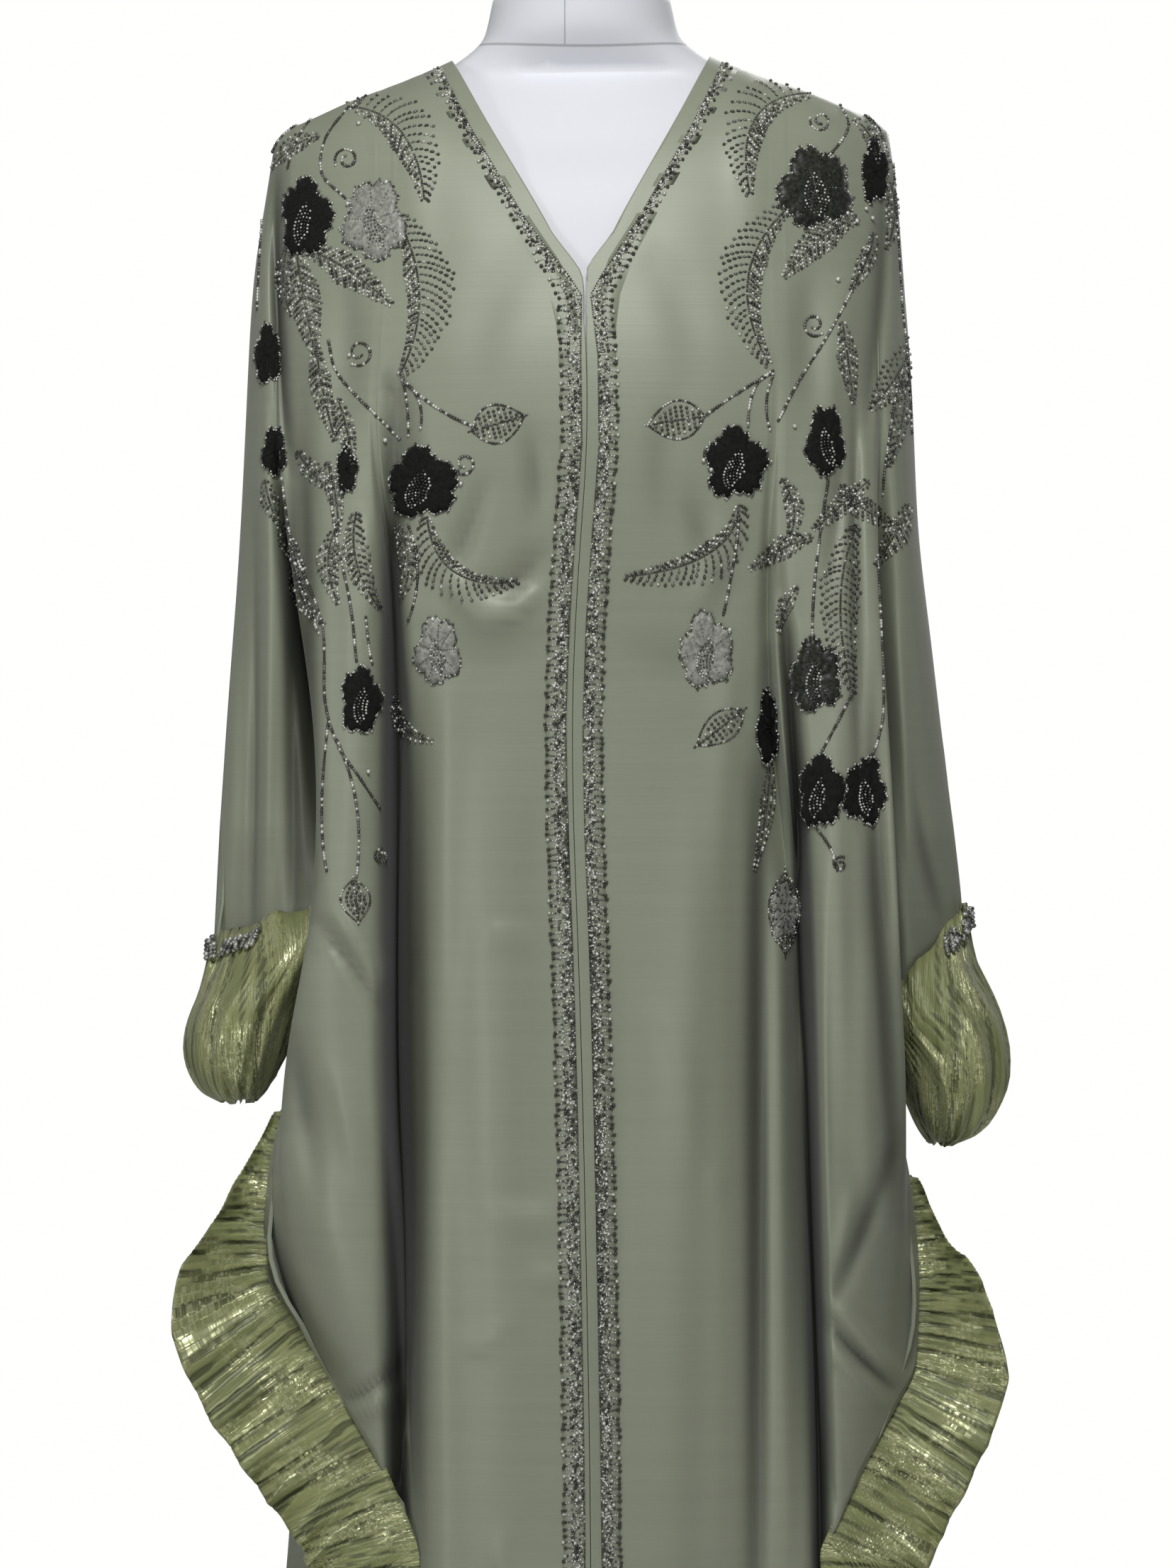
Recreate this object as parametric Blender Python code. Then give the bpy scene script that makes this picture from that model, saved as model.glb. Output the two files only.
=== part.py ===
"""Open-front abaya with butterfly sleeves, worn on a limbless dress form.

Metres, +Z up, the front faces -Y, and the origin is on the floor under the pole.
Each cloth piece is a sheet of points with a Solidify wall. Tables are in millimetres.
"""

from collections import namedtuple
from math import cos, pi, sin

import bmesh
import bpy
import numpy as np
from mathutils import Vector
from mathutils.bvhtree import BVHTree

MM = 0.001
CLOTH_WALL = 1.6  # satin with its turned seams
RUFFLE_WALL = 1.0  # doubled organza
SEAM_GAP = 0.4
SEAM_OPEN = 3.0  # from the side seam to the outer face of the front and of the back
SHOULDER_SHARE = 0.35  # the same along the shoulder and the sleeve's edge
FOLD_ROUND = 8.0  # length of cloth on each side of a fold's crest that rounds it
SHOULDER_LEAN = 0.017  # rise of the right shoulder over the left, per unit across

NECK_X = 84.0
NECK_Z = 1452.5
TIP_Z = 1389.0  # where the shoulder turns down into the sleeve
TIP_BLEND = 90.0
V_POINT_Z = 1303.0
BUST_Z = 1250.0
WRIST_Z = 885.0
SIDE_Z = 500.0  # where the wing's edge has come in to the side seam
FOLD_LOW, FOLD_HIGH = 1110.0, BUST_Z  # the wings' folds fade out between these heights
SLEEVE_LOW = 1040.0  # above this the sleeve's rows are level
BACK_NECK_DIP = 14.0

Widths = namedtuple("Widths", "z body valley wing_in wing_out corner sleeve crease")
Depths = namedtuple("Depths", "z body valley wing_in wing_out corner sleeve crease strip")
Line = namedtuple("Line", "z value")

Flute = namedtuple("Flute", "x depth half_width top")  # soft troughs down the front skirt
FLUTES = {
    "left": (Flute(78, 7, 15, 1000), Flute(40, 4, 12, 900)),
    "right": (Flute(88, 8, 15, 980), Flute(50, -3, 14, 900)),
}

CENTRE_DEPTH = [Line(*row) for row in (
    (30, 146), (250, 132), (500, 120), (640, 114), (800, 106), (940, 101), (1030, 99),
    (1120, 109), (1210, 121), (1303, 104), (1389, 79), (1420, 62), (1452.5, 36))]
CENTRE_LINE = [Line(*row) for row in (
    (30, 8), (500, 6), (740, 2), (885, -2), (960, -5), (1030, -6), (1120, -1.5),
    (1210, 4.5), (1303, 1))]
BACK_DEPTH = [Line(*row) for row in (
    (30, 168), (250, 148), (500, 128), (660, 116), (800, 104), (940, 90), (1030, 84),
    (1120, 94), (1210, 106), (1303, 104), (1389, 84), (1420, 66), (1452.5, 38))]
RIDGE = [Line(*row) for row in (
    (1389, 201), (1401, 199), (1410, 190), (1416.5, 173), (1426.5, 149), (1435.5, 126),
    (1445.5, 99), (1452.5, 84))]

FRONT_DEPTHS = [Depths(*row) for row in (
    (30, 132, 120, 118, 118, 118, 0, 0, 0),
    (250, 118, 107, 104, 104, 104, 0, 0, 0),
    (500, 104, 92, 92, 90, 60, 0, 0, 0),
    (580, 101, 74, 98, 92, 60, 0, 0, 0),
    (660, 97, 60, 104, 94, 54, 0, 0, 0),
    (740, 93, 56, 108, 100, 40, 0, 0, 0),
    (800, 90, 56, 108, 106, 22, 50, 30, 34),
    (885, 86, 56, 104, 108, 3, 50, 30, 34),
    (940, 86, 54, 100, 106, 6, 50, 30, 34),
    (1030, 87, 56, 98, 100, 14, 52, 34, 36),
    (1120, 97, 84, 100, 90, 28, 56, 42, 38),
    (1250, 100, 98, 98, 70, 40, 50, 42, 30))]
FRONT_WIDTHS = {
    "left": [Widths(*row) for row in (
        (30, 104, 112, 112, 112, 112, 112, 112),
        (250, 98, 103, 103, 103, 103, 103, 103),
        (500, 96, 104, 108, 140, 160, 160, 160),
        (580, 101, 110, 115, 165, 190, 190, 190),
        (660, 104, 112, 116, 180, 203, 203, 203),
        (700, 104, 113, 118, 185, 206, 206, 206),
        (740, 105, 114, 121, 192, 203, 203, 203),
        (800, 107, 118, 129, 190, 184, 190, 204),
        (885, 108, 118, 126, 175, 150, 168, 204),
        (940, 108, 117, 124, 168, 156, 172, 205),
        (1030, 106, 114, 124, 170, 168, 181, 206),
        (1120, 117, 121, 125, 186, 184, 195, 207),
        (1210, 128, 131, 135, 193, 195, 202, 209),
        (1303, 122, 127, 132, 192, 197, 203, 208),
        (1389, 120, 125, 130, 184, 190, 194, 197))],
    "right": [Widths(*row) for row in (
        (30, 134, 168, 168, 168, 168, 168, 168),
        (250, 128, 158, 158, 158, 158, 158, 158),
        (500, 124, 154, 162, 190, 205, 205, 205),
        (612, 121, 150, 158, 192, 215, 215, 215),
        (660, 120, 148, 156, 198, 218, 218, 218),
        (740, 118, 143, 152, 207, 212, 212, 212),
        (800, 116, 140, 149, 208, 192, 206, 226),
        (885, 115, 136, 143, 203, 170, 212, 232),
        (940, 114, 130, 137, 201, 176, 211, 230),
        (1030, 112, 120, 124, 195, 185, 205, 221),
        (1120, 112, 117, 122, 189, 188, 200, 212),
        (1210, 118, 123, 129, 187, 191, 199, 208),
        (1303, 120, 126, 132, 187, 193, 200, 204),
        (1389, 120, 125, 130, 184, 190, 194, 197))],
}
SLEEVE_EDGE = {
    "left": [Line(*row) for row in (
        (840, 242), (885, 239), (929, 237), (976, 232), (1033, 229.5), (1093, 224.5),
        (1165, 220), (1233, 217), (1310, 213), (1350, 207))],
    "right": [Line(*row) for row in (
        (840, 255), (901, 249), (941, 244), (984, 236.5), (1030, 232), (1083, 226),
        (1145, 218), (1233, 215), (1306, 209), (1350, 206))],
}
Hem = namedtuple("Hem", "corner sleeve crease outer")
SLEEVE_HEM = {
    "left": Hem(900, 896, 884, 869),
    "right": Hem(828, 848, 868, 890),
}
Sweep = namedtuple("Sweep", "toe_z side_x bend")  # the wing's curved lower edge
WING_SWEEP = {"left": Sweep(664, 104, 1.25), "right": Sweep(608, 154, 1.12)}
BackRow = namedtuple("BackRow", "z x1 y1 x2 y2 x3 y3 x4 y4")
BACK_FOLDS = [BackRow(*row) for row in (
    (30, 120, 160, 190, 138, 240, 90, 266, 0),
    (250, 110, 140, 166, 120, 206, 78, 224, 4),
    (500, 100, 118, 146, 100, 178, 70, 192, 12),
    (580, 100, 112, 138, 94, 166, 82, 190, 24),
    (660, 98, 104, 130, 84, 152, 92, 190, 42),
    (740, 96, 98, 124, 72, 142, 96, 186, 60),
    (800, 94, 92, 119, 66, 134, 95, 180, 72),
    (885, 92, 82, 114, 60, 128, 90, 170, 82),
    (940, 92, 78, 114, 56, 126, 88, 168, 82),
    (1030, 94, 74, 114, 56, 126, 84, 172, 74),
    (1120, 100, 80, 122, 68, 134, 82, 180, 60),
    (1250, 104, 88, 130, 78, 150, 70, 188, 44))]

SKIRT_LEVELS = (500, 440, 335, 235, 130, 30)
WING_STEPS = 7
BAND_THICK = 2.0
BAND_BLEND = 25.0
WRIST_BAND_POINTS = 5  # points of the sleeve's hem line that the wrist band follows
WRIST_BAND_HEIGHT = 11.0
WRIST_BAND_THICK = 3.3
WRIST_BAND_LIFT = 0.9
UPPER_LEVELS = (1389, 1387.6, 1383, 1373, 1353, 1323, 1288, 1250, 1195, 1140, 1085, 1020, 950, 885)
BACK_LEVELS = UPPER_LEVELS + (830, 775, 720, 664, 608, 554) + SKIRT_LEVELS
BAND_START = {"left": (9.5, 22.5, 3.0, 17.0), "right": (9.5, 22.5, 6.5, 18.5)}

Span = namedtuple("Span", "cells crown")
FRONT_SPANS = (Span(3, 0.05), Span(1, 0), Span(1, 0), Span(3, 0.06), Span(2, -0.04),
               Span(1, 0), Span(1, 0), Span(2, 0.05))
BACK_SPANS = (Span(2, 0.05), Span(1, 0), Span(1, 0), Span(2, 0.10), Span(2, -0.02), Span(2, 0.05))
BODY_COLUMNS = 9  # columns of a front from its centre edge to the bottom of the first valley
WING_COLUMNS = 21  # and on to the corner between wing and sleeve
SLEEVE_COLUMN = 24
CREASE_COLUMN = 27
FRONT_COLUMNS = 31

Puff = namedtuple("Puff", "drop reach depth")  # reach: share of the way out to the fullest
CUFF_PROFILE = [Puff(*row) for row in (
    (0.0, 0.0, 0), (0.14, 0.45, 49), (0.40, 0.85, 56), (0.70, 1.0, 58),
    (0.93, 0.72, 46), (1.0, 0.25, 27), (0.92, -0.05, 15))]
CUFF_BOTTOM = {"left": 776, "right": 749}
CUFF_OUTER = {"left": 257.5, "right": 280.0}
CUFF_PLEATS = 12
CUFF_CLEAR = 8.0
CUFF_HANG = 1.6  # drop of the cuff's top under the sleeve's end
CUFF_TILT = 1.0
CUFF_WAVE = 2.2

RufflePoint = namedtuple("RufflePoint", "z width droop")
RUFFLE_SHAPE = {
    "left": [RufflePoint(*row) for row in (
        (330, 8, 14), (400, 44, 20), (473, 58, 25), (553, 74, 22), (620, 78, 8),
        (664, 66, -8), (715, 38, 4), (772, 12, 20))],
    "right": [RufflePoint(*row) for row in (
        (330, 8, 14), (400, 46, 20), (500, 66, 24), (545, 68, 20), (600, 60, 0),
        (650, 54, -16), (690, 30, 4), (730, 12, 20))],
}
RUFFLE_WAVES = 19
RUFFLE_COLUMNS = 4
ROOT_TUCK = 0.5

FormRing = namedtuple("FormRing", "z half_width front back")
FORM_BUST = [FormRing(*row) for row in (
    (1330, 180, 92, 92), (1303, 168, 98, 96), (1250, 154, 108, 96), (1210, 148, 111, 94),
    (1120, 122, 96, 80), (1040, 104, 84, 66), (980, 106, 84, 66),
    (930, 116, 84, 70), (870, 124, 86, 76), (815, 122, 84, 76), (802, 112, 76, 68))]
FORM_RIDGE_DROP = 3.4
FORM_HALF_SPAN = 196.0
FORM_UNDER_CLOTH = 11.5
FORM_NECK_HOLLOW = 10.0
FORM_NECK_DROP = 2.3
NECK_RINGS = [FormRing(*row) for row in (
    (1460, 66, 50, 42), (1470, 62, 55, 49), (1490, 58, 58, 54))]
NeckCap = namedtuple("NeckCap", "rise share")
NECK_CAP = [NeckCap(*row) for row in (
    (0.4, 0.97), (30, 0.93), (52, 0.86), (60, 0.72), (64, 0.4))]
TORSO_SIDES, CAP_SIDES, POLE_SIDES, BASE_SIDES = 28, 24, 16, 32
POLE_RADIUS = 14.0
BASE_RADIUS = 165.0
BASE_THICK = 16.0
BASE_BEVEL = 5.0

Flower = namedtuple("Flower", "side x z half_width half_height turn")
FLOWERS = [Flower(*row) for row in (
    ("left", -178, 1349, 15, 25, 0.2), ("left", -134, 1347, 19, 26, 1.0),
    ("left", -103, 1177, 22, 22, 0.4), ("left", -93, 1068, 13, 21, 0.8),
    ("left", -143, 1036, 12, 22, 0.1),
    ("right", 151, 1368, 23, 25, 0.7), ("right", 100, 1190, 18, 23, 0.3),
    ("right", 158, 1204, 12, 23, 0.9), ("right", 81, 1068, 17, 24, 0.5),
    ("right", 152, 1052, 15, 23, 0.6), ("right", 156, 977, 13, 24, 0.2))]
FLOWER_THICK = 1.0
FLOWER_LIFT = 1.0


def clear_scene():
    for item in list(bpy.data.objects):
        bpy.data.objects.remove(item, do_unlink=True)


def material(name, colour, roughness, metallic=0.0):
    made = bpy.data.materials.new(name)
    made.use_nodes = True
    shader = made.node_tree.nodes["Principled BSDF"]
    shader.inputs["Base Color"].default_value = (*colour, 1.0)
    shader.inputs["Roughness"].default_value = roughness
    shader.inputs["Metallic"].default_value = metallic
    return made


def step(low, high, value):
    """Smooth rise from 0 at low to 1 at high."""
    t = min(1.0, max(0.0, (value - low) / (high - low)))
    return t * t * (3 - 2 * t)


def at(rows, column, z):
    """A column's value at a height, on a smooth curve through the rows."""
    heights = [row.z for row in rows]
    values = [getattr(row, column) for row in rows]
    z = min(max(z, heights[0]), heights[-1])
    k = min(max(int(np.searchsorted(heights, z)) - 1, 0), len(rows) - 2)
    slopes = [(values[i + 1] - values[i]) / (heights[i + 1] - heights[i])
              for i in range(len(rows) - 1)]

    def tangent(i):
        if i in (0, len(rows) - 1):
            return slopes[0] if i == 0 else slopes[-1]
        before, after = slopes[i - 1], slopes[i]
        return 0.0 if before * after <= 0 else 2 * before * after / (before + after)

    span = heights[k + 1] - heights[k]
    t = (z - heights[k]) / span
    return ((2 * t**3 - 3 * t**2 + 1) * values[k] + (t**3 - 2 * t**2 + t) * span * tangent(k)
            + (3 * t**2 - 2 * t**3) * values[k + 1] + (t**3 - t**2) * span * tangent(k + 1))


def ridge_height(x):
    """Height of the shoulder line at a distance from the centre."""
    rows = sorted(RIDGE, key=lambda row: row.value)
    return float(np.interp(x, [row.value for row in rows], [row.z for row in rows]))


def outer_width(side, z):
    """Half width of the garment: the shoulder line, and the sleeve's edge under it."""
    if z >= TIP_Z:
        return float(np.interp(z, [row.z for row in RIDGE], [row.value for row in RIDGE]))
    return at(SLEEVE_EDGE[side] + [RIDGE[0]], "value", z)


def smooth_depth(side, x, z, depths):
    """Depth of the unfolded cloth, an oval section that narrows to the shoulder line."""
    half = outer_width(side, z) if z >= TIP_Z else max(outer_width(side, z), x)
    share = min(1.0, max(0.0, x / half))
    return at(depths, "value", z) * (1 - share**2.3) ** 0.5


def seam_curve(side, z):
    """The side seam and the wing's edge, from the wrist down: distance out and depth."""
    sweep = WING_SWEEP[side]
    widths = FRONT_WIDTHS[side]
    if z >= sweep.toe_z:
        return at(widths, "corner", z), at(FRONT_DEPTHS, "corner", z)
    toe_x = at(widths, "corner", sweep.toe_z)
    toe_y = at(FRONT_DEPTHS, "corner", sweep.toe_z)
    if z >= SIDE_Z:
        t = (z - SIDE_Z) / (sweep.toe_z - SIDE_Z)
        side_y = at(FRONT_DEPTHS, "valley", SIDE_Z)
        return sweep.side_x + (toe_x - sweep.side_x) * t**sweep.bend, side_y + (toe_y - side_y) * t
    return at(widths, "valley", z), at(FRONT_DEPTHS, "valley", z)


def seam(side, z):
    """The seam line as sewn, straight from one level of the back to the next."""
    levels = BACK_LEVELS[:BACK_LEVELS.index(WRIST_Z) - len(BACK_LEVELS) - 1:-1]
    points = [seam_curve(side, level) for level in levels]
    return tuple(float(np.interp(z, levels, values)) for values in zip(*points))


def round_folds(keys, lengths):
    """A section's columns: each inner key as three points that round the fold there."""
    keys = [Vector(key) for key in keys]
    columns = [[keys[0]]]
    for i in range(1, len(keys) - 1):
        before, after = keys[i - 1] - keys[i], keys[i + 1] - keys[i]
        reach = min(FOLD_ROUND, 0.32 * before.length, 0.32 * after.length)
        first = keys[i] + before.normalized() * reach
        last = keys[i] + after.normalized() * reach
        crest = keys[i] * 0.4 + (first + last) * 0.3
        columns.append([first, crest, last])
    columns.append([keys[-1]])
    path = []
    for i, group in enumerate(columns):
        path += group
        if i < len(columns) - 1:
            start, end = group[-1], columns[i + 1][0]
            out = Vector((-(end - start).y, (end - start).x))
            for k in range(lengths[i].cells - 1):
                t = (k + 1) / lengths[i].cells
                path.append(start.lerp(end, t) + out * lengths[i].crown * 4 * t * (1 - t))
    return path


def front_edge(side, z):
    """A front's inner edge, outwards from the middle plane: the neckline, then the centre."""
    sign = -1 if side == "left" else 1
    if z < V_POINT_Z:
        return sign * at(CENTRE_LINE, "value", z) + SEAM_GAP / 2
    start = sign * at(CENTRE_LINE, "value", V_POINT_Z) + SEAM_GAP / 2
    t = (z - V_POINT_Z) / (NECK_Z - V_POINT_Z)
    return start + (NECK_X - start) * (t + 0.05 * sin(pi * t))


def band_edges(side, z):
    neck_in, neck_out, low_in, low_out = BAND_START[side]
    t = step(V_POINT_Z - BAND_BLEND, V_POINT_Z + BAND_BLEND, z)
    return low_in + (neck_in - low_in) * t, low_out + (neck_out - low_out) * t


def front_path(side, z):
    """A level section of a front: distance out and depth in front of the middle plane."""
    widths, table = FRONT_WIDTHS[side], FRONT_DEPTHS
    folded = 1 - step(FOLD_LOW, FOLD_HIGH, z)
    outer = outer_width(side, z)
    edge = front_edge(side, z)
    inner, outside = band_edges(side, z)
    inset = edge + outside
    keys = [(inset, smooth_depth(side, max(inset, 0), z, CENTRE_DEPTH))]
    least = inset
    for name in ("body", "valley", "wing_in", "wing_out", "corner", "sleeve", "crease"):
        x = at(widths, name, z)
        if z > BUST_Z:
            x = max(x, least + 4)
        least = x
        smooth = smooth_depth(side, x, z, CENTRE_DEPTH)
        keys.append((x, smooth + (at(table, name, min(z, BUST_Z)) - smooth) * folded))
    keys.append((outer, 0.0))
    path = round_folds(keys, FRONT_SPANS)
    for point in path[1:BODY_COLUMNS]:
        for flute in FLUTES[side]:
            away = (point.x - flute.x) / flute.half_width
            fade = 1 - step(540, flute.top, z)
            point.y -= flute.depth * fade * 2.718 ** (-away * away)
    bands = [Vector((x, smooth_depth(side, max(x, 0), z, CENTRE_DEPTH)))
             for x in (edge, edge + inner)]
    return bands + path


def front_sheet(side):
    """The front's grid of points, as rows from the shoulder to the hem."""
    hem = SLEEVE_HEM[side]
    sweep = WING_SWEEP[side]
    rows = []
    for level in UPPER_LEVELS:
        path = front_path(side, level)
        drop = step(TIP_Z - TIP_BLEND, TIP_Z, level)
        low = 1 - step(WRIST_Z, SLEEVE_LOW, level)
        row = []
        for i, point in enumerate(path):
            if i <= WING_COLUMNS:
                shift = (hem.corner - WRIST_Z) * max(0, i - BODY_COLUMNS) / (
                    WING_COLUMNS - BODY_COLUMNS)
            else:
                places = (WING_COLUMNS, SLEEVE_COLUMN, CREASE_COLUMN, FRONT_COLUMNS - 1)
                shift = np.interp(i, places, hem) - WRIST_Z
            z = level + shift * low
            if drop > 0 or shift * low:
                guess = z
                for _ in range(4):
                    at_z = front_path(side, min(guess, NECK_Z))[i]
                    guess = z + drop * (ridge_height(max(NECK_X, at_z.x)) - TIP_Z)
                z, point = min(guess, NECK_Z), front_path(side, min(guess, NECK_Z))[i]
                if level == TIP_Z:
                    x = max(NECK_X, point.x) if i else NECK_X
                    z, point = ridge_height(x), Vector((x, 0.0))
            row.append((point.x, point.y, z))
        rows.append(row)
    for k in range(1, WING_STEPS + 1):
        t = k / WING_STEPS
        body_z = WRIST_Z + (SIDE_Z - WRIST_Z) * t
        edge_z = hem.corner + (sweep.toe_z - hem.corner) * t
        row = []
        for i in range(WING_COLUMNS + 1):
            share = max(0, i - BODY_COLUMNS) / (WING_COLUMNS - BODY_COLUMNS)
            z = body_z + (edge_z - body_z) * share
            point = front_path(side, z)[i]
            if k == WING_STEPS and i >= BODY_COLUMNS or i == WING_COLUMNS:
                point = Vector(seam(side, z))
            row.append((point.x, point.y, z))
        rows.append(row)
    for level in SKIRT_LEVELS[1:]:
        path = front_path(side, level)[:BODY_COLUMNS]
        rows.append([(point.x, point.y, level) for point in path]
                    + [(*seam(side, level), level)])
    return rows


def lean(x, z):
    """The shoulders' slight tilt, fading out above the waist."""
    return x * SHOULDER_LEAN * step(1150, 1380, z)


def world(point, side, facing=-1):
    """Table distances to metres: the left side is -X, and the front is -Y."""
    x = -point[0] if side == "left" else point[0]
    return Vector((x, facing * point[1], point[2] + lean(x, point[2]))) * MM


def sheet_mesh(name, rows, flip):
    """A mesh from rows of points, each row as long as the cloth is there."""
    mesh = bpy.data.meshes.new(name)
    body = bmesh.new()
    grid = [[body.verts.new(point) for point in row] for row in rows]
    for upper, lower in zip(grid, grid[1:]):
        for i in range(min(len(upper), len(lower)) - 1):
            face = [upper[i], lower[i], lower[i + 1], upper[i + 1]]
            body.faces.new(face[::-1] if flip else face)
    loose = [vert for vert in body.verts if not vert.link_faces]
    bmesh.ops.delete(body, geom=loose, context="VERTS")
    body.to_mesh(mesh)
    body.free()
    mesh.shade_smooth()
    return mesh


def add_object(name, mesh, finish, wall=0.0):
    made = bpy.data.objects.new(name, mesh)
    bpy.context.scene.collection.objects.link(made)
    mesh.materials.append(finish)
    if wall:
        solid = made.modifiers.new("Cloth wall", "SOLIDIFY")
        solid.thickness = wall * MM
        solid.offset = -1
    return made


def open_seams(rows, facing):
    """Moves a sheet's seam edges off the seam, so that the two walls stay apart."""
    sleeve_rows = len(UPPER_LEVELS)
    for k, row in enumerate(rows):
        edge = [row[-1]]
        if k == 0:
            edge = row
        elif facing < 0 and k == sleeve_rows + WING_STEPS - 1:
            edge = row[BODY_COLUMNS:]
        share = SHOULDER_SHARE if k < sleeve_rows else 1.0
        for point in edge:
            point.y += facing * SEAM_OPEN * share * MM
        if facing < 0 and k >= sleeve_rows + WING_STEPS - 1:
            seam_point = row[BODY_COLUMNS]
            row[BODY_COLUMNS - 1] = row[BODY_COLUMNS - 2].lerp(seam_point, 0.6)


def make_front(side, finish):
    rows = [[world(point, side) for point in row] for row in front_sheet(side)]
    open_seams(rows, -1)
    mesh = sheet_mesh(f"front_{side}", rows, flip=side == "left")
    add_object(f"front_{side}", mesh, finish, CLOTH_WALL)
    return rows


def back_half(side):
    """One half of the back's rows, from the centre out to the sleeve or the side seam."""
    rows = []
    for level in BACK_LEVELS:
        folded = 1 - step(FOLD_LOW, FOLD_HIGH, level)
        low = 1 - step(WRIST_Z, SLEEVE_LOW, level)
        sleeve = level >= WRIST_Z
        keys = [(0.0, at(BACK_DEPTH, "value", level))]
        for k in range(1, 5):
            x = at(BACK_FOLDS, f"x{k}", level)
            smooth = smooth_depth(side, x, level, BACK_DEPTH)
            y = at(BACK_FOLDS, f"y{k}", min(level, BUST_Z))
            keys.append((x, smooth + (y - smooth) * folded))
        if sleeve:
            corner = at(FRONT_WIDTHS[side], "corner", level)
            y = 3 + 12 * step(WRIST_Z, 1120, level)
            smooth = smooth_depth(side, corner, level, BACK_DEPTH)
            keys.append((corner, smooth + (y - smooth) * folded))
            outer = outer_width(side, level)
            mid = max(outer - 16, corner + 5)
            smooth = smooth_depth(side, mid, level, BACK_DEPTH)
            keys.append((mid, smooth + (50 - smooth) * folded))
            keys.append((outer, 0.0))
            path = round_folds(keys, BACK_SPANS + (Span(1, 0),))
        else:
            x, y = seam(side, level)
            keys.append((x, -y))
            path = round_folds(keys, BACK_SPANS[:5])
        rows.append([(point.x, point.y, level, low) for point in path])
    return rows


def make_back(finish):
    """The back in one piece, with its neckline, both wings and both sleeve backs."""
    halves = {}
    for side in ("left", "right"):
        hem = SLEEVE_HEM[side]
        count = len(back_half(side)[0]) - 1
        seam_column = len(back_half(side)[-1]) - 1
        rows = []
        for k, row in enumerate(back_half(side)):
            level = row[0][2]
            drop = step(TIP_Z - TIP_BLEND, TIP_Z, level)
            points = []
            for i, (x, y, z, low) in enumerate(row):
                shift = 0.0
                if level >= WRIST_Z and i >= seam_column:
                    shift = np.interp(i, (seam_column, count), (hem.corner, hem.outer)) - WRIST_Z
                rise = drop * (back_top(x) - TIP_Z)
                z = z + shift * low + rise
                if rise and k:
                    y = smooth_depth(side, x, z, BACK_DEPTH)
                if k == 0:
                    z = back_top(x)
                    y = smooth_depth(side, x, z, BACK_DEPTH) if x < NECK_X else 0.0
                points.append(world((x, y, z), side, facing=1))
            rows.append(points)
        open_seams(rows, 1)
        halves[side] = rows
    mesh = bpy.data.meshes.new("back")
    body = bmesh.new()
    middle = [body.verts.new(row[0]) for row in halves["left"]]
    for side, flip in (("left", True), ("right", False)):
        grid = [[middle[k]] + [body.verts.new(point) for point in row[1:]]
                for k, row in enumerate(halves[side])]
        for upper, lower in zip(grid, grid[1:]):
            for i in range(min(len(upper), len(lower)) - 1):
                face = [upper[i], upper[i + 1], lower[i + 1], lower[i]]
                body.faces.new(face[::-1] if flip else face)
    body.to_mesh(mesh)
    body.free()
    mesh.shade_smooth()
    add_object("back", mesh, finish, CLOTH_WALL)
    return halves


def back_top(x):
    """The back's upper edge: a shallow neckline between the shoulder lines."""
    if x >= NECK_X:
        return ridge_height(x)
    return NECK_Z - BACK_NECK_DIP * (1 - (x / NECK_X) ** 2)


def make_front_band(side, rows, finish):
    """A beaded band on a front, between two of its columns and moved out from its points."""
    outer, inner = [], []
    for k, row in enumerate(rows):
        a, b = row[1], row[2]
        along = (rows[min(k + 1, len(rows) - 1)][1] - rows[max(k - 1, 0)][1]).normalized()
        out = (b - a).cross(along).normalized()
        if out.y > 0:
            out = -out
        if k == 0:
            out = Vector((0, -0.7, 0.7))
        lift = (SEAM_GAP + 0.2) * MM
        inner.append([a + out * lift, b + out * lift])
        outer.append([a + out * (lift + BAND_THICK * MM), b + out * (lift + BAND_THICK * MM)])
    loops = [[o[0], o[1], i[1], i[0]] for o, i in zip(outer, inner)]
    return add_object(f"bead_band_{side}", tube_mesh(f"bead_band_{side}", loops), finish)


def tube_mesh(name, loops):
    """A closed mesh through loops of equal length, capped at both ends."""
    mesh = bpy.data.meshes.new(name)
    body = bmesh.new()
    rings = [[body.verts.new(point) for point in loop] for loop in loops]
    for lower, upper in zip(rings, rings[1:]):
        for i in range(len(lower)):
            j = (i + 1) % len(lower)
            body.faces.new((lower[i], lower[j], upper[j], upper[i]))
    body.faces.new(rings[0][::-1])
    body.faces.new(rings[-1])
    bmesh.ops.recalc_face_normals(body, faces=body.faces)
    body.to_mesh(mesh)
    body.free()
    return mesh


def sleeve_end(side, front_rows, back_rows):
    """The sleeve's closed hem line, from the corner round the front, the edge and the back."""
    front = front_rows[len(UPPER_LEVELS) - 1][WING_COLUMNS + 1:]
    seam_column = len(back_rows[side][-1]) - 1
    back = back_rows[side][len(UPPER_LEVELS) - 1][seam_column + 1:]
    return front + back[::-1]


def resample(loop, count):
    """Points along a closed loop that keep its corners, with more on its longer stretches."""
    loop = list(loop)
    ends = loop[1:] + loop[:1]
    lengths = [(b - a).length for a, b in zip(loop, ends)]
    pieces = [1] * len(loop)
    while sum(pieces) < count:
        longest = max(range(len(loop)), key=lambda k: lengths[k] / pieces[k])
        pieces[longest] += 1
    made = []
    for a, b, parts in zip(loop, ends, pieces):
        made += [a.lerp(b, k / parts) for k in range(parts)]
    return made


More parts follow.
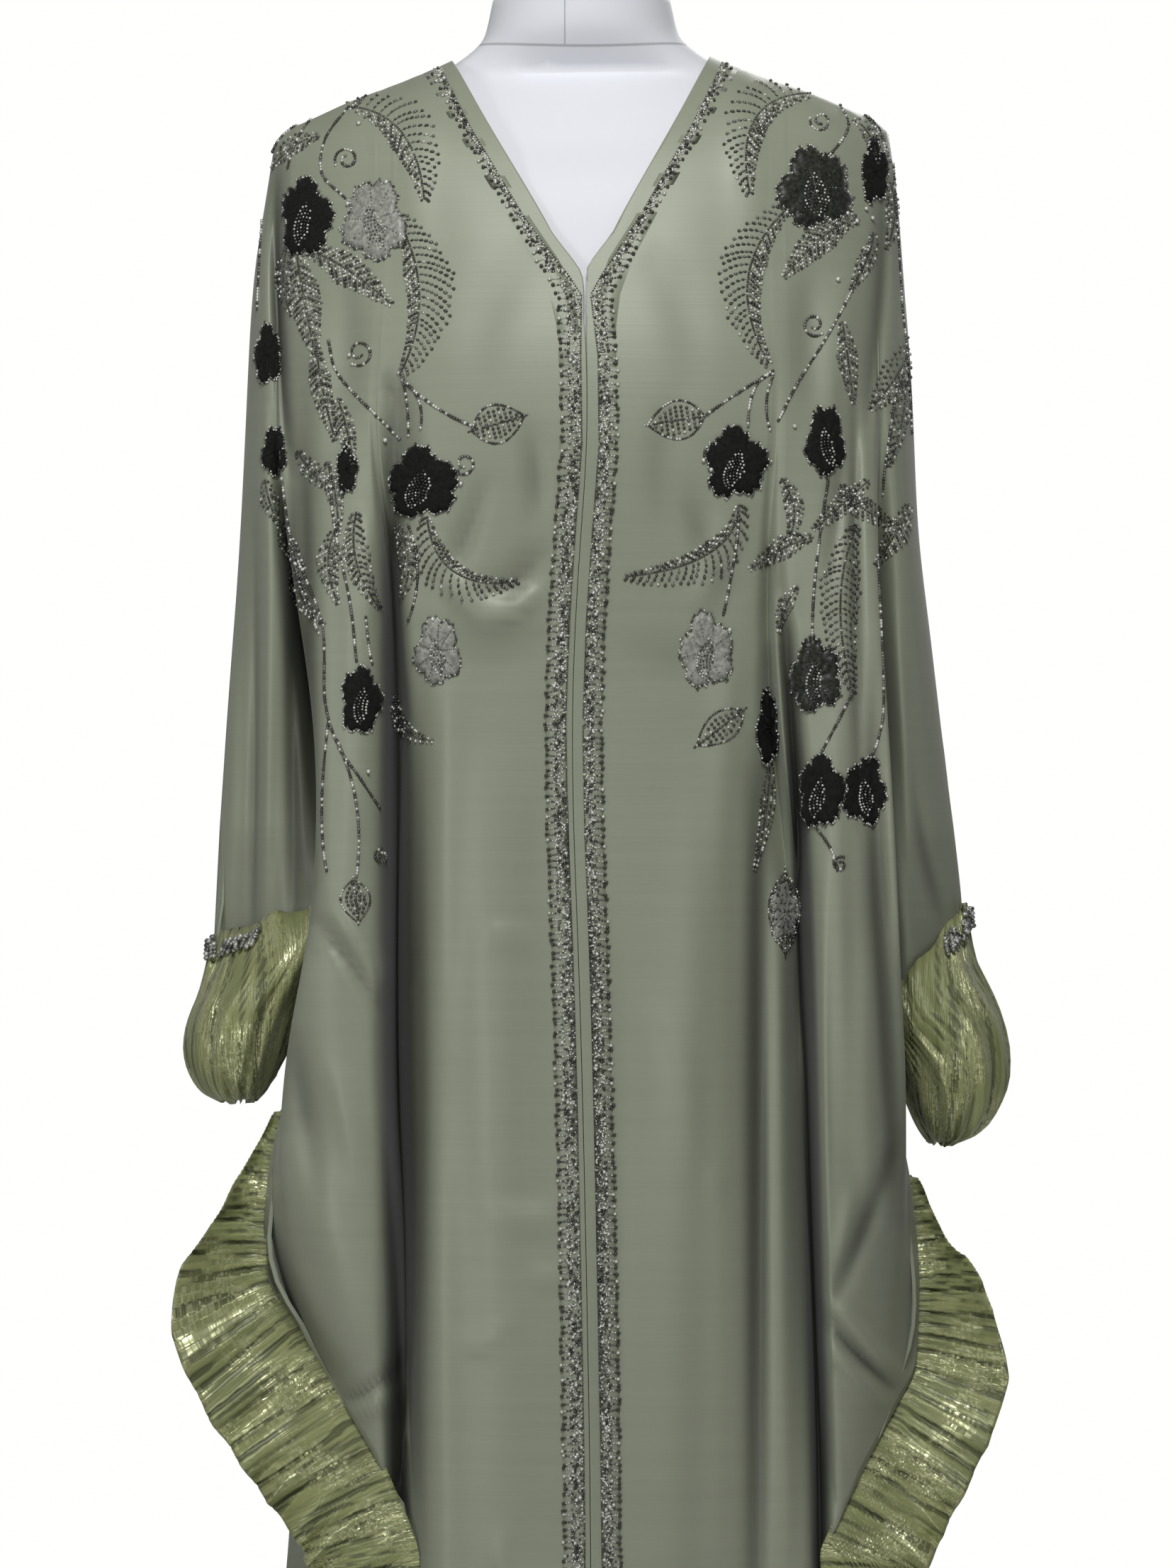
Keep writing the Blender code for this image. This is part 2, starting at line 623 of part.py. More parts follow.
def wing_wall(side, y, z):
    """How far out the wing's own cloth reaches beside the cuff, at a depth and a height."""
    corner = at(FRONT_WIDTHS[side], "corner", z)
    if y < 0:
        far_x, far_y = at(FRONT_WIDTHS[side], "wing_out", z), at(FRONT_DEPTHS, "wing_out", z)
    else:
        far_x, far_y = at(BACK_FOLDS, "x4", z), at(BACK_FOLDS, "y4", z)
    return corner + max(0.0, far_x - corner) * min(1.0, (abs(y) + 12) / far_y)


def make_cuff(side, hem_loop, finish):
    """The gathered balloon under a sleeve's end, open underneath."""
    count = CUFF_PLEATS * 4
    sign = -1 if side == "left" else 1
    top = [Vector((point.x * sign, point.y, point.z)) / MM for point in resample(hem_loop, count)]
    middle = sum(top, Vector()) / count
    bottom = CUFF_BOTTOM[side]
    rings = []
    for puff in CUFF_PROFILE:
        ring = []
        for i, point in enumerate(top):
            flat = Vector((point.x - middle.x, point.y - middle.y))
            z = point.z - CUFF_HANG - CUFF_TILT * max(0.0, -flat.normalized().x)
            z += (bottom - z) * puff.drop
            x, y = point.x, point.y
            if puff.drop:
                outer = 240 + (CUFF_OUTER[side] - 240) * max(puff.reach, 0)
                inner = wing_wall(side, -20, z) + CUFF_CLEAR
                closing = 1 - puff.depth / 58 if puff.drop > 0.9 or puff.reach < 0.3 else 0
                inner, outer = (inner + (outer - inner) * 0.5 * closing,
                                outer - (outer - inner) * 0.5 * closing)
                angle = flat.normalized()
                oval = Vector(((inner + outer) / 2 + (outer - inner) / 2 * angle.x,
                               puff.depth * angle.y))
                blend = min(1.0, puff.drop * 2.6)
                x += (oval.x - x) * blend
                y += (oval.y - y) * blend
                wave = CUFF_WAVE * sin(2 * pi * CUFF_PLEATS * i / count) * min(1.0, 5 * puff.drop)
                x += angle.x * wave
                y += angle.y * wave
            x = max(x, wing_wall(side, y, z) + CUFF_CLEAR)
            ring.append(Vector((sign * x, y, z)) * MM)
        rings.append(ring)
    mesh = sheet_mesh(f"balloon_cuff_{side}", [ring + ring[:1] for ring in rings], False)
    body = bmesh.new()
    body.from_mesh(mesh)
    bmesh.ops.remove_doubles(body, verts=body.verts, dist=1e-6)
    bmesh.ops.recalc_face_normals(body, faces=body.faces)
    body.to_mesh(mesh)
    body.free()
    centre = Vector((sign * middle.x, middle.y, middle.z)) * MM
    outward = sum(1 for face in mesh.polygons if face.normal.dot(face.center - centre) > 0)
    if outward * 2 < len(mesh.polygons):
        mesh.flip_normals()
    add_object(f"balloon_cuff_{side}", mesh, finish, RUFFLE_WALL)


def make_ruffle(side, finish):
    """The gathered strip along a wing's edge, standing out from the side seam."""
    shape = RUFFLE_SHAPE[side]
    high, low = shape[-1].z, shape[0].z
    fine = [Vector((seam(side, z)[0], z)) for z in np.linspace(high, low, 400)]
    lengths = np.cumsum([0.0] + [(b - a).length for a, b in zip(fine, fine[1:])])
    count = RUFFLE_WAVES * 4
    rows = []
    for k in range(count + 1):
        s = lengths[-1] * k / count
        z = float(np.interp(s, lengths, [p.y for p in fine]))
        x, y = seam(side, z)
        x2, y2 = seam(side, z - 4)
        x1, y1 = seam(side, z + 4)
        along = Vector((x2 - x1, -8)).normalized()
        out = Vector((-along.y, along.x))
        tilt = at(shape, "droop", z) * pi / 180
        away = out * cos(tilt) + along * sin(tilt)
        width = at(shape, "width", z)
        phase = 2 * pi * RUFFLE_WAVES * k / count + 0.5 * sin(0.37 * k)
        row = []
        for c in range(RUFFLE_COLUMNS):
            r = (c / (RUFFLE_COLUMNS - 1)) ** 0.9
            size = width * r
            swing = sin(phase) * min(7.0, 0.5 + 0.10 * size + 1.5 * r) * r
            slide = cos(phase * 0.5 + 0.8) * 0.03 * size
            px = x - ROOT_TUCK * out.x + away.x * size + along.x * slide
            pz = z - ROOT_TUCK * out.y + away.y * size + along.y * slide
            py = y + 9 * r * r * min(1, size / 40) + swing
            row.append(world((px, py, pz), side))
        rows.append(row)
    mesh = sheet_mesh(f"wing_ruffle_{side}", rows, flip=side == "left")
    made = add_object(f"wing_ruffle_{side}", mesh, finish, RUFFLE_WALL)
    made.modifiers["Cloth wall"].offset = 0


def make_wrist_band(side, hem_loop, finish):
    """The beaded edging round the outer part of a sleeve's end."""
    middle = sum(hem_loop, Vector()) / len(hem_loop)
    first = CREASE_COLUMN - WING_COLUMNS
    run = hem_loop[first:first + WRIST_BAND_POINTS]
    loops = []
    for k, point in enumerate(run):
        along = run[min(k + 1, len(run) - 1)] - run[max(k - 1, 0)]
        out = Vector((along.y, -along.x, 0)).normalized()
        if out.dot(point - middle) < 0:
            out = -out
        low, high = Vector((0, 0, SEAM_GAP * MM)), Vector((0, 0, WRIST_BAND_HEIGHT * MM))
        near, far = out * WRIST_BAND_LIFT * MM, out * (WRIST_BAND_LIFT + WRIST_BAND_THICK) * MM
        loops.append([point + near + low, point + far + low, point + far + high, point + near + high])
    add_object(f"wrist_band_{side}", tube_mesh(f"wrist_band_{side}", loops), finish)


def oval_ring(ring, count):
    """A level oval ring of the form, with its own front and back depths."""
    points = []
    for k in range(count):
        angle = 2 * pi * k / count
        depth = ring.front if sin(angle) < 0 else ring.back
        x = ring.half_width * cos(angle)
        points.append(Vector((x, depth * sin(angle), ring.z + lean(x, ring.z))) * MM)
    return points


def form_rings():
    """The dress form's torso, under the shoulder line and then along its bust, waist and hip."""
    rings = []
    for row in RIDGE[::-1]:
        if row.value < NECK_X + 1:
            continue
        by_neck = 1 - step(95, 150, row.value)
        z = row.z - FORM_RIDGE_DROP - FORM_NECK_DROP * by_neck
        under = min(row.value - 1.5, FORM_HALF_SPAN)
        front = at(CENTRE_DEPTH, "value", row.z) - FORM_UNDER_CLOTH
        back = at(BACK_DEPTH, "value", row.z) - FORM_UNDER_CLOTH - FORM_NECK_HOLLOW * by_neck
        rings.append(FormRing(z, under, front, back))
    rings.append(FormRing(1362, 190, 86, 86))
    return rings + FORM_BUST


def make_form(cover, metal):
    rings = [oval_ring(ring, TORSO_SIDES) for ring in NECK_RINGS[::-1] + form_rings()]
    torso = add_object("form_torso", tube_mesh("form_torso", rings), cover)
    neck = NECK_RINGS[-1]
    rings = []
    for cap in NECK_CAP:
        ring = FormRing(neck.z + cap.rise, neck.half_width * cap.share, neck.front * cap.share,
                        neck.back * cap.share)
        rings.append(oval_ring(ring, CAP_SIDES))
    cap = add_object("form_neck_cap", tube_mesh("form_neck_cap", rings), cover)
    pole_top = FORM_BUST[-1].z - SEAM_GAP
    pole = turned("form_pole", ((BASE_THICK + SEAM_GAP, POLE_RADIUS), (pole_top, POLE_RADIUS)),
                  POLE_SIDES, metal)
    base = turned("form_base", ((0, BASE_RADIUS), (BASE_THICK - BASE_BEVEL, BASE_RADIUS),
                                (BASE_THICK, BASE_RADIUS - BASE_BEVEL)), BASE_SIDES, metal)
    for made in (torso, cap, pole, base):
        made.data.shade_smooth()
        made.data.set_sharp_from_angle(angle=0.7)


def turned(name, profile, sides, finish):
    """A solid of revolution about the pole's axis."""
    loops = []
    for z, radius in profile:
        loops.append([Vector((radius * cos(2 * pi * k / sides), radius * sin(2 * pi * k / sides), z))
                      * MM for k in range(sides)])
    return add_object(name, tube_mesh(name, loops), finish)


def make_flower(index, flower, cloth, finish):
    """A raised applique flower, laid on a front by dropping its points onto the cloth."""
    petals, sides = 4, 12
    rings = []
    for share in (0.0, 0.55, 1.0):
        ring = []
        for k in range(1 if share == 0 else sides):
            angle = flower.turn + 2 * pi * k / sides
            reach = share * (0.9 + 0.1 * cos(petals * (angle - flower.turn)))
            ring.append((flower.x + flower.half_width * reach * cos(angle),
                         flower.z + flower.half_height * reach * sin(angle)))
        rings.append(ring)

    def laid(x, z):
        start = Vector((x * MM, -0.5, z * MM))
        hit, normal, _, _ = cloth.ray_cast(start, Vector((0, 1, 0)))
        return hit, normal

    body = bmesh.new()
    layers = []
    for lift in (FLOWER_LIFT, FLOWER_LIFT + FLOWER_THICK):
        layer = []
        for ring in rings:
            verts = []
            for x, z in ring:
                hit, normal = laid(x, z)
                verts.append(body.verts.new(hit + Vector((0, -1, 0)) * lift * MM
                                            * (1 + 0.8 * (1 - abs(normal.y)))))
            layer.append(verts)
        layers.append(layer)
    for layer, turn in ((layers[0], False), (layers[1], True)):
        centre, inner, outer = layer
        for k in range(sides):
            j = (k + 1) % sides
            for face in ([centre[0], inner[k], inner[j]], [inner[k], outer[k], outer[j], inner[j]]):
                body.faces.new(face[::-1] if turn else face)
    for k in range(sides):
        j = (k + 1) % sides
        body.faces.new((layers[0][2][k], layers[1][2][k], layers[1][2][j], layers[0][2][j]))
    bmesh.ops.recalc_face_normals(body, faces=body.faces)
    name = f"applique_{flower.side}_{index}"
    mesh = bpy.data.meshes.new(name)
    body.to_mesh(mesh)
    body.free()
    add_object(name, mesh, finish)


def main():
    clear_scene()
    satin = material("Sage satin", (0.28, 0.30, 0.23), 0.42)
    organza = material("Olive organza", (0.20, 0.22, 0.09), 0.35, 0.4)
    beads = material("Silver beads", (0.45, 0.45, 0.42), 0.3, 0.8)
    velvet = material("Black velvet", (0.012, 0.012, 0.010), 0.9)
    cover = material("White form cover", (0.80, 0.81, 0.85), 0.7)
    metal = material("Satin steel", (0.55, 0.55, 0.56), 0.35, 1.0)
    fronts = {side: make_front(side, satin) for side in ("left", "right")}
    halves = make_back(satin)
    graph = bpy.context.evaluated_depsgraph_get()
    for side in ("left", "right"):
        make_front_band(side, fronts[side], beads)
        hem_loop = sleeve_end(side, fronts[side], halves)
        make_cuff(side, hem_loop, organza)
        make_wrist_band(side, hem_loop, beads)
        make_ruffle(side, organza)
        cloth = BVHTree.FromObject(bpy.data.objects[f"front_{side}"], graph)
        for index, flower in enumerate(f for f in FLOWERS if f.side == side):
            make_flower(index + 1, flower, cloth, velvet)
    make_form(cover, metal)


main()
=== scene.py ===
"""Open-front abaya with butterfly sleeves on a limbless dress form: the finished look.

The cloth shells follow the solids, with creases. The beadwork is laid out on the
front plane in millimetres (across, height) and dropped onto the cloth as the viewer sees it.
"""

from collections import namedtuple
from math import cos, pi, sin

import bmesh
import bpy
import numpy as np
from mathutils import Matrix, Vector
from mathutils.bvhtree import BVHTree


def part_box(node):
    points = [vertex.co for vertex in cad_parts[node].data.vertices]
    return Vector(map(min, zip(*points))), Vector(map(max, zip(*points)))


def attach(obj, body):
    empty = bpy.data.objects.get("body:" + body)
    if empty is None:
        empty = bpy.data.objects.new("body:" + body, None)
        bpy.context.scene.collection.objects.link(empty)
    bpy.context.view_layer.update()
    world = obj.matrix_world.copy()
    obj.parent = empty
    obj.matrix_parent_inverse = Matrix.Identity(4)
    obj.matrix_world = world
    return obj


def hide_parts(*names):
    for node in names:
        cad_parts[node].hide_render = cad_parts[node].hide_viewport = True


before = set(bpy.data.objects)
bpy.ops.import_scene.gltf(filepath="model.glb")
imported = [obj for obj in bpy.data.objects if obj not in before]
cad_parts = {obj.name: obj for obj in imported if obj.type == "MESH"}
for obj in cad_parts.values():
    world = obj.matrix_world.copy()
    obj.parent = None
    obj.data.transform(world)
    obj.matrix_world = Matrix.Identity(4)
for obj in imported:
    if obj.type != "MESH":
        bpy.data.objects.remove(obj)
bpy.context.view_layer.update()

bl_info = {
    "name": "Butterfly abaya",
    "version": (1, 0, 0),
    "blender": (4, 5, 0),
    "location": "View3D > Sidebar > Abaya",
    "description": "Satin abaya with organza ruffles and beadwork on a dress form",
    "category": "Add Mesh",
}

MM = 0.001  # lengths without another unit are in millimetres
CHANCE = np.random.default_rng(11)
between = CHANCE.uniform  # a chance value between two limits
VIEW_POINT = Vector((0.004, -3.2, 0.982))  # in metres
VIEW_AWAY = 3200  # from the viewer to the front plane
OUTWARD = {"left": -1, "right": 1}
FRONTS = ("satin_front_left", "satin_front_right")
BACKDROP_LIGHT = 0.15  # the white backdrop's share in lighting the cloth
MERGE = 3e-6  # joins the solids' doubled corners, in metres
RIM_ANGLE = 1.22  # a cloth's cut edges turn by more than its folds do
JOIN_ANGLE, JOIN_SHAPE = 1.2, 1.6  # limits for rejoining facets to quads
LENS, SENSOR_HEIGHT = 75.5, 24  # of the camera, in millimetres
V_POINT = (3.4, 1303)  # the neckline's point
NECK_START, NECK_SLOPE = 1288, 0.37  # the fronts' inner edges above that height
NECK_BELOW, NECK_ABOVE = 24, 22  # how far from the point the edges are drawn together
NECK_PULL, NECK_WIDTH, NECK_GAP = 7.0, 12, 0.2
CREASE_STEPS, CURL_STEPS, EDGE_STEPS, FINE_STEPS = 14, 14, 160, 120  # points along a curve
SEAM_GAP, SEAM_REACH, SEAM_PULL = 0.3, 11, 5.2  # how far the back's edges are drawn to the fronts
# The satin's colour gets painted shade in the creases' troughs and a painted highlight on their
# ridges, from the two tables below
SHADE_FOLD_RANGE = 36  # from the deepest trough to the highest ridge that the satin's tone follows
PAINTED_FOLD_SHADING = ((0.0, 0.03), (0.18, 0.12), (0.32, 0.45), (0.43, 0.88), (0.5, 1.0), (0.7, 1.08))
FINE_SLUBS, COARSE_SLUBS = (14, 14, 900), (5, 5, 160)  # the satin's crosswise lines
# The form cover's seams, in metres
NECK_SEAM, NECK_BOW = 1.4545, 1.15  # height of the one round the neck, and its bend across
NECK_UPRIGHT = 0.0105  # the upright one, to the left of the middle
RING_HALF, UPRIGHT_HALF = 0.0008, 0.0005  # half widths of their lines
CUFF_GATHERS, CUFF_PLEAT = 27, 2.3
CUFF_TUCK = 18  # how far the tops reach up into the sleeves
CUFF_FADE = 0.024  # in metres, where this dies out below the sleeve's end
CUFF_THINNED, CUFF_ABOVE = 2.0, 4  # the tops' flattening, and the lowest place above the hem
CUFF_BEHIND, CUFF_WALL, CUFF_SHIFT = 2.2, 1.0, 14  # the tucked tops behind the sleeve's front
RUFFLE_PITCH, RUFFLE_ROOT = 0.0088, 0.006  # gathers and the sewn edge's width, in metres
RUFFLE_PLEAT, RUFFLE_HIDDEN = 2.4, 3.2  # depth of the gathers, and how far the edge goes under
RUFFLE_NARROWS = {"left": 630, "right": 604}  # the ruffles narrow above these heights
NARROW_SHARE, NARROW_RUN = 0.45, 110
BAND_ROWS, TUFT_ROWS = (34, 1449, 1.5), (40, 1440, 4.1)  # from, to and pitch, in height
BAND_FILL, TUFT_BEADS = 4, 3
LARGE_DARK, LARGE_BRIGHT = 0.28, 0.16  # a row's chances of a large bead
BAND_AHEAD = 110  # from the front plane to the bands
CORNER_GAP = 6  # parts one row of a band's corners from the next
STRIP_TOP, STRIP_UNDER = 0.15, 1.2  # a band's strip above and below the cloth's face
NECK_BAND, NECK_FADE = 1300, 40  # the bead bands narrow beside the neckline
WRIST_OUT, WRIST_BEAD, WRIST_CUTS = 0.2, 1.35, 3
WRIST_LIFT = 2.4  # the wrist beads' farthest distance from the cloth below
FERN_PITCH, FERN_ROW, BARB_GAP, BARB_BEAD = 1.6, 2.7, 4.6, 2.9
LEAF_ROWS, LEAF_PITCH = 10.4, 2.8
PETAL_SIDES, PETAL_RINGS, PETAL_FOOT = 96, 5, 0.15
RAISED, FLAT = 2.3, 0.9  # how far a flower's face stands off the cloth
PISTIL_FROM, PISTIL_PITCH = 11, 2.1  # narrower flowers have no beaded pistil
FLOOR_HALF = 2.4  # in metres, like the lamps' places and sizes
LAMPS = (  # name, place, target and size
    ("key", (0.02, -1.6, 2.5), (0, 0, 1.05), 0.7),
    ("fill", (-1.7, -1.9, 0.9), (-0.1, 0, 0.75), 0.6),
    ("rear", (0.7, 2.3, 2.4), (0, 0, 0.85), 1.4))


def table(fields, rows):
    """Rows with named fields."""
    kind = namedtuple("Row", fields)
    return [kind(*row) for row in rows]


CREASE = "x1 z1 x2 z2 x3 z3 width depth"  # a curve through three points; a ridge is positive
FRONT_CREASES = table(CREASE, (
    (-36, 1214, -30, 1180, -31, 1148, 8, -4), (-73, 1092, -48, 1094, -28, 1110, 6, 7),
    (-60, 1104, -40, 1116, -24, 1136, 10, -4.5), (-96, 1140, -80, 1108, -62, 1096, 8, 5),
    (-66, 883, -50, 885, -32, 884, 5, 2.2), (-60, 705, -35, 700, -14, 702, 6, 3),
    (-36, 665, -22, 662, -10, 663, 5, 2.6), (80, 723, 86, 722, 94, 721, 5, 2.2),
    (-58, 1010, -62, 900, -60, 700, 18, 3), (-34, 980, -36, 860, -34, 640, 16, -2.4),
    (-46, 500, -42, 470, 30, 474, 7, 2), (-84, 1060, -88, 960, -90, 820, 9, 2.8),
    (-104, 1040, -106, 800, -98, 420, 13, -3.2), (-92, 760, -90, 560, -84, 330, 11, 3),
    (100, 1090, 92, 1010, 88, 900, 10, 3), (96, 1160, 84, 1120, 74, 1096, 9, 3.4),
    (60, 1230, 52, 1190, 56, 1140, 10, -2.4), (74, 1010, 72, 880, 66, 700, 14, 2.6),
    (115, 1010, 115, 760, 112, 300, 8, -9), (129, 950, 131, 760, 134, 460, 7, 5),
    (92, 780, 94, 600, 88, 380, 12, 2.6), (-123, 1240, -122, 800, -114, 160, 7, -18),
    (127, 1130, 150, 760, 157, 160, 5.5, -19), (-181, 1250, -179, 1060, -176, 880, 8, -9),
    (-108, 1080, -108, 800, -102, 330, 9, -5), (-197, 1390, -197, 1290, -190, 1190, 5, -11),
    (-120, 1250, -112, 1200, -116, 1140, 8, -4), (140, 1000, 143, 900, 138, 800, 6, -5),
    (-62, 1180, -76, 1140, -94, 1110, 7, -4), (70, 1170, 84, 1130, 104, 1098, 8, -4),
    (196, 1390, 194, 1300, 184, 1210, 6, -6), (170, 1260, 168, 1180, 160, 1110, 6, -4),
    (-96, 1086, -60, 1066, -22, 1084, 15, -2.4), (28, 1078, 66, 1060, 108, 1082, 15, -2),
    (-50, 900, -54, 700, -50, 400, 20, 4), (60, 920, 64, 700, 60, 420, 20, 4),
    (100, 960, 101, 740, 96, 360, 9, -3), (20, 900, 22, 700, 18, 480, 9, -1.6),
    (-30, 1330, -60, 1290, -66, 1230, 16, -1.6), (40, 1330, 66, 1290, 70, 1230, 16, -1.6),
    (-40, 640, -64, 620, -84, 628, 5, 2), (40, 840, 62, 800, 70, 730, 10, 2),
    (-148, 1200, -146, 1040, -150, 870, 11, 5), (-190, 1200, -189, 1040, -186, 870, 5, -7),
    (-203, 1170, -203, 1020, -206, 890, 5, 5), (-212, 1170, -211, 1020, -214, 880, 4, -5),
    (-226, 1100, -226, 1000, -230, 890, 5, 3), (-174, 896, -152, 868, -130, 836, 4, -5),
    (-168, 908, -144, 880, -127, 850, 6, 4.5), (-198, 760, -164, 690, -132, 606, 22, 8),
    (-206, 700, -184, 640, -146, 580, 10, -5), (-190, 830, -178, 760, -172, 700, 8, -3),
    (-157, 583, -136, 590, -115, 611, 4, -4), (-150, 574, -132, 580, -114, 596, 4, 3),
    (-160, 800, -150, 760, -140, 700, 9, 3), (158, 930, 157, 760, 161, 570, 4, 5),
    (178, 1260, 178, 1100, 181, 950, 4, -6), (164, 1040, 165, 900, 171, 760, 9, 6),
    (190, 1050, 193, 900, 206, 700, 7, -6.5), (205, 755, 184, 695, 161, 640, 6, -5),
    (186, 880, 184, 780, 192, 700, 9, 4), (157, 652, 178, 630, 208, 596, 5, 5),
    (157, 637, 178, 612, 205, 588, 3.5, -5), (157, 618, 178, 598, 201, 575, 4, 4),
    (175, 720, 170, 690, 164, 668, 5, 3), (204, 1090, 208, 1020, 214, 950, 5, 4),
    (212, 1000, 222, 940, 236, 890, 5, -4), (200, 1000, 204, 920, 216, 860, 6, 3.5),
    (-180, 1300, -172, 1250, -176, 1190, 10, 3), (-158, 1330, -150, 1270, -156, 1210, 9, -2.4),
    (-138, 1150, -139, 1120, -137, 1080, 6, 3), (176, 1320, 168, 1260, 172, 1190, 10, 3),
    (150, 1320, 146, 1270, 150, 1220, 9, -2.4), (134, 1120, 128, 1090, 118, 1062, 6, 4),
    (-92, 1440, -110, 1380, -104, 1310, 14, 2), (92, 1440, 112, 1380, 104, 1310, 14, 2),
    (-40, 420, -44, 300, -40, 120, 16, 3), (44, 460, 50, 300, 46, 110, 16, 3),
    (-76, 400, -80, 260, -84, 90, 10, -3.6), (84, 380, 88, 240, 94, 90, 10, -3.6)))
BACK_CREASES = table(CREASE, (
    (-60, 1300, -50, 1200, -58, 1080, 16, -2), (52, 1310, 62, 1210, 54, 1090, 16, -2),
    (-30, 1080, -24, 900, -34, 600, 22, 3), (34, 1060, 44, 860, 36, 560, 20, 3.2),
    (-70, 1000, -80, 760, -74, 420, 18, -2.5), (74, 980, 70, 740, 84, 400, 20, -2.4),
    (0, 980, 6, 700, 2, 300, 18, 2), (-150, 1010, -160, 880, -150, 700, 10, 2.4),
    (152, 1000, 164, 860, 158, 690, 10, 2.6), (-120, 1330, -140, 1270, -150, 1200, 9, 2),
    (122, 1330, 142, 1260, 150, 1190, 9, 2), (-10, 1060, 20, 1068, 50, 1062, 7, 1.8),
    (-120, 560, -130, 400, -150, 200, 14, 2.4), (118, 540, 136, 380, 150, 190, 14, 2.4)))
# The wings' outer parts turn away from the viewer, and on the satin a fifth of the turn adds
# painted shade
WING_TURNS = table(CREASE, (
    (-215, 960, -214, 740, -190, 540, 44, -22), (226, 960, 226, 740, 205, 540, 44, -22)))

WING_EDGE = {
    "left": (
        (-194, 772), (-202, 735), (-204, 698), (-202, 662), (-175, 625), (-150, 588), (-127, 551),
        (-111, 514), (-104, 477), (-104, 440), (-103, 404), (-103, 330)),
    "right": (
        (212, 730), (216, 697), (218, 663), (216, 630), (208, 597), (188, 563), (170, 530),
        (154, 497), (155, 463), (155, 430), (156, 397), (157, 330)),
}

# Distance across and height along each sleeve's end
SLEEVE_END = {
    "left": (
        (-240, 869), (-206, 884), (-190, 896), (-168, 900)),
    "right": (
        (170, 828), (206, 848), (232, 868), (250, 890)),
}

# Dense rows of beads: -1 left, 1 right, 0 on both sides, 2 on neither
FERNS = table("x1 z1 x2 z2 x3 z3 left right dense", (
    (-148, 1421, -116, 1404, -102, 1362, 20, 14, 1),
    (-120, 1350, -105, 1300, -117, 1249, 25, 10, 1),
    (-179, 1329, -152, 1316, -124, 1294, 12, 13, 0),
    (-185, 1329, -179, 1293, -172, 1260, 13, 12, 0), (-191, 1329, -193, 1306, -188, 1287, 6, 6, 0),
    (-100, 1155, -83, 1120, -43, 1114, 8, 17, -1), (-146, 1158, -146, 1127, -132, 1097, 10, 9, 1),
    (-186, 1127, -182, 1104, -167, 1086, 5, 7, 0), (-121, 1039, -115, 1019, -97, 1010, 6, 6, 0),
    (-205, 1179, -202, 1164, -198, 1152, 7, 6, 0), (-184, 1198, -175, 1185, -163, 1173, 8, 6, 0),
    (-165, 1191, -160, 1173, -157, 1145, 6, 6, 0), (150, 1430, 113, 1414, 109, 1366, 14, 19, -1),
    (134, 1356, 108, 1310, 121, 1256, 12, 20, -1), (180, 1348, 159, 1339, 132, 1312, 12, 12, 0),
    (189, 1340, 186, 1325, 175, 1303, 6, 7, 0), (169, 1282, 173, 1256, 176, 1230, 7, 8, 0),
    (214, 1272, 206, 1250, 188, 1226, 14, 12, -1), (210, 1245, 208, 1219, 200, 1189, 5, 8, -1),
    (212, 1164, 204, 1145, 191, 1125, 10, 8, 0), (102, 1163, 83, 1132, 30, 1117, 17, 8, 1),
    (150, 1142, 133, 1136, 110, 1122, 8, 9, 0), (186, 1179, 172, 1166, 151, 1148, 8, 8, 0),
    (178, 1150, 168, 1099, 176, 1042, 14, 14, 2), (200, 1372, 203, 1352, 198, 1330, 6, 7, 0),
    (-170, 1402, -186, 1396, -200, 1382, 6, 7, 0), (-172, 1268, -168, 1240, -160, 1206, 7, 9, 0),
    (-158, 1232, -152, 1212, -148, 1190, 6, 8, 0), (-196, 1152, -190, 1136, -180, 1122, 7, 6, 0),
    (-120, 1150, -112, 1128, -116, 1104, 8, 8, 0), (130, 1180, 138, 1160, 134, 1140, 7, 7, 0),
    (168, 1176, 184, 1160, 206, 1150, 9, 8, 0), (140, 1110, 132, 1096, 128, 1082, 5, 6, 0),
    (-160, 1146, -164, 1124, -158, 1100, 8, 8, 0), (122, 996, 119, 961, 112, 927, 6, 5, 0),
    (176, 1412, 186, 1404, 192, 1385, 6, 5, 0)))
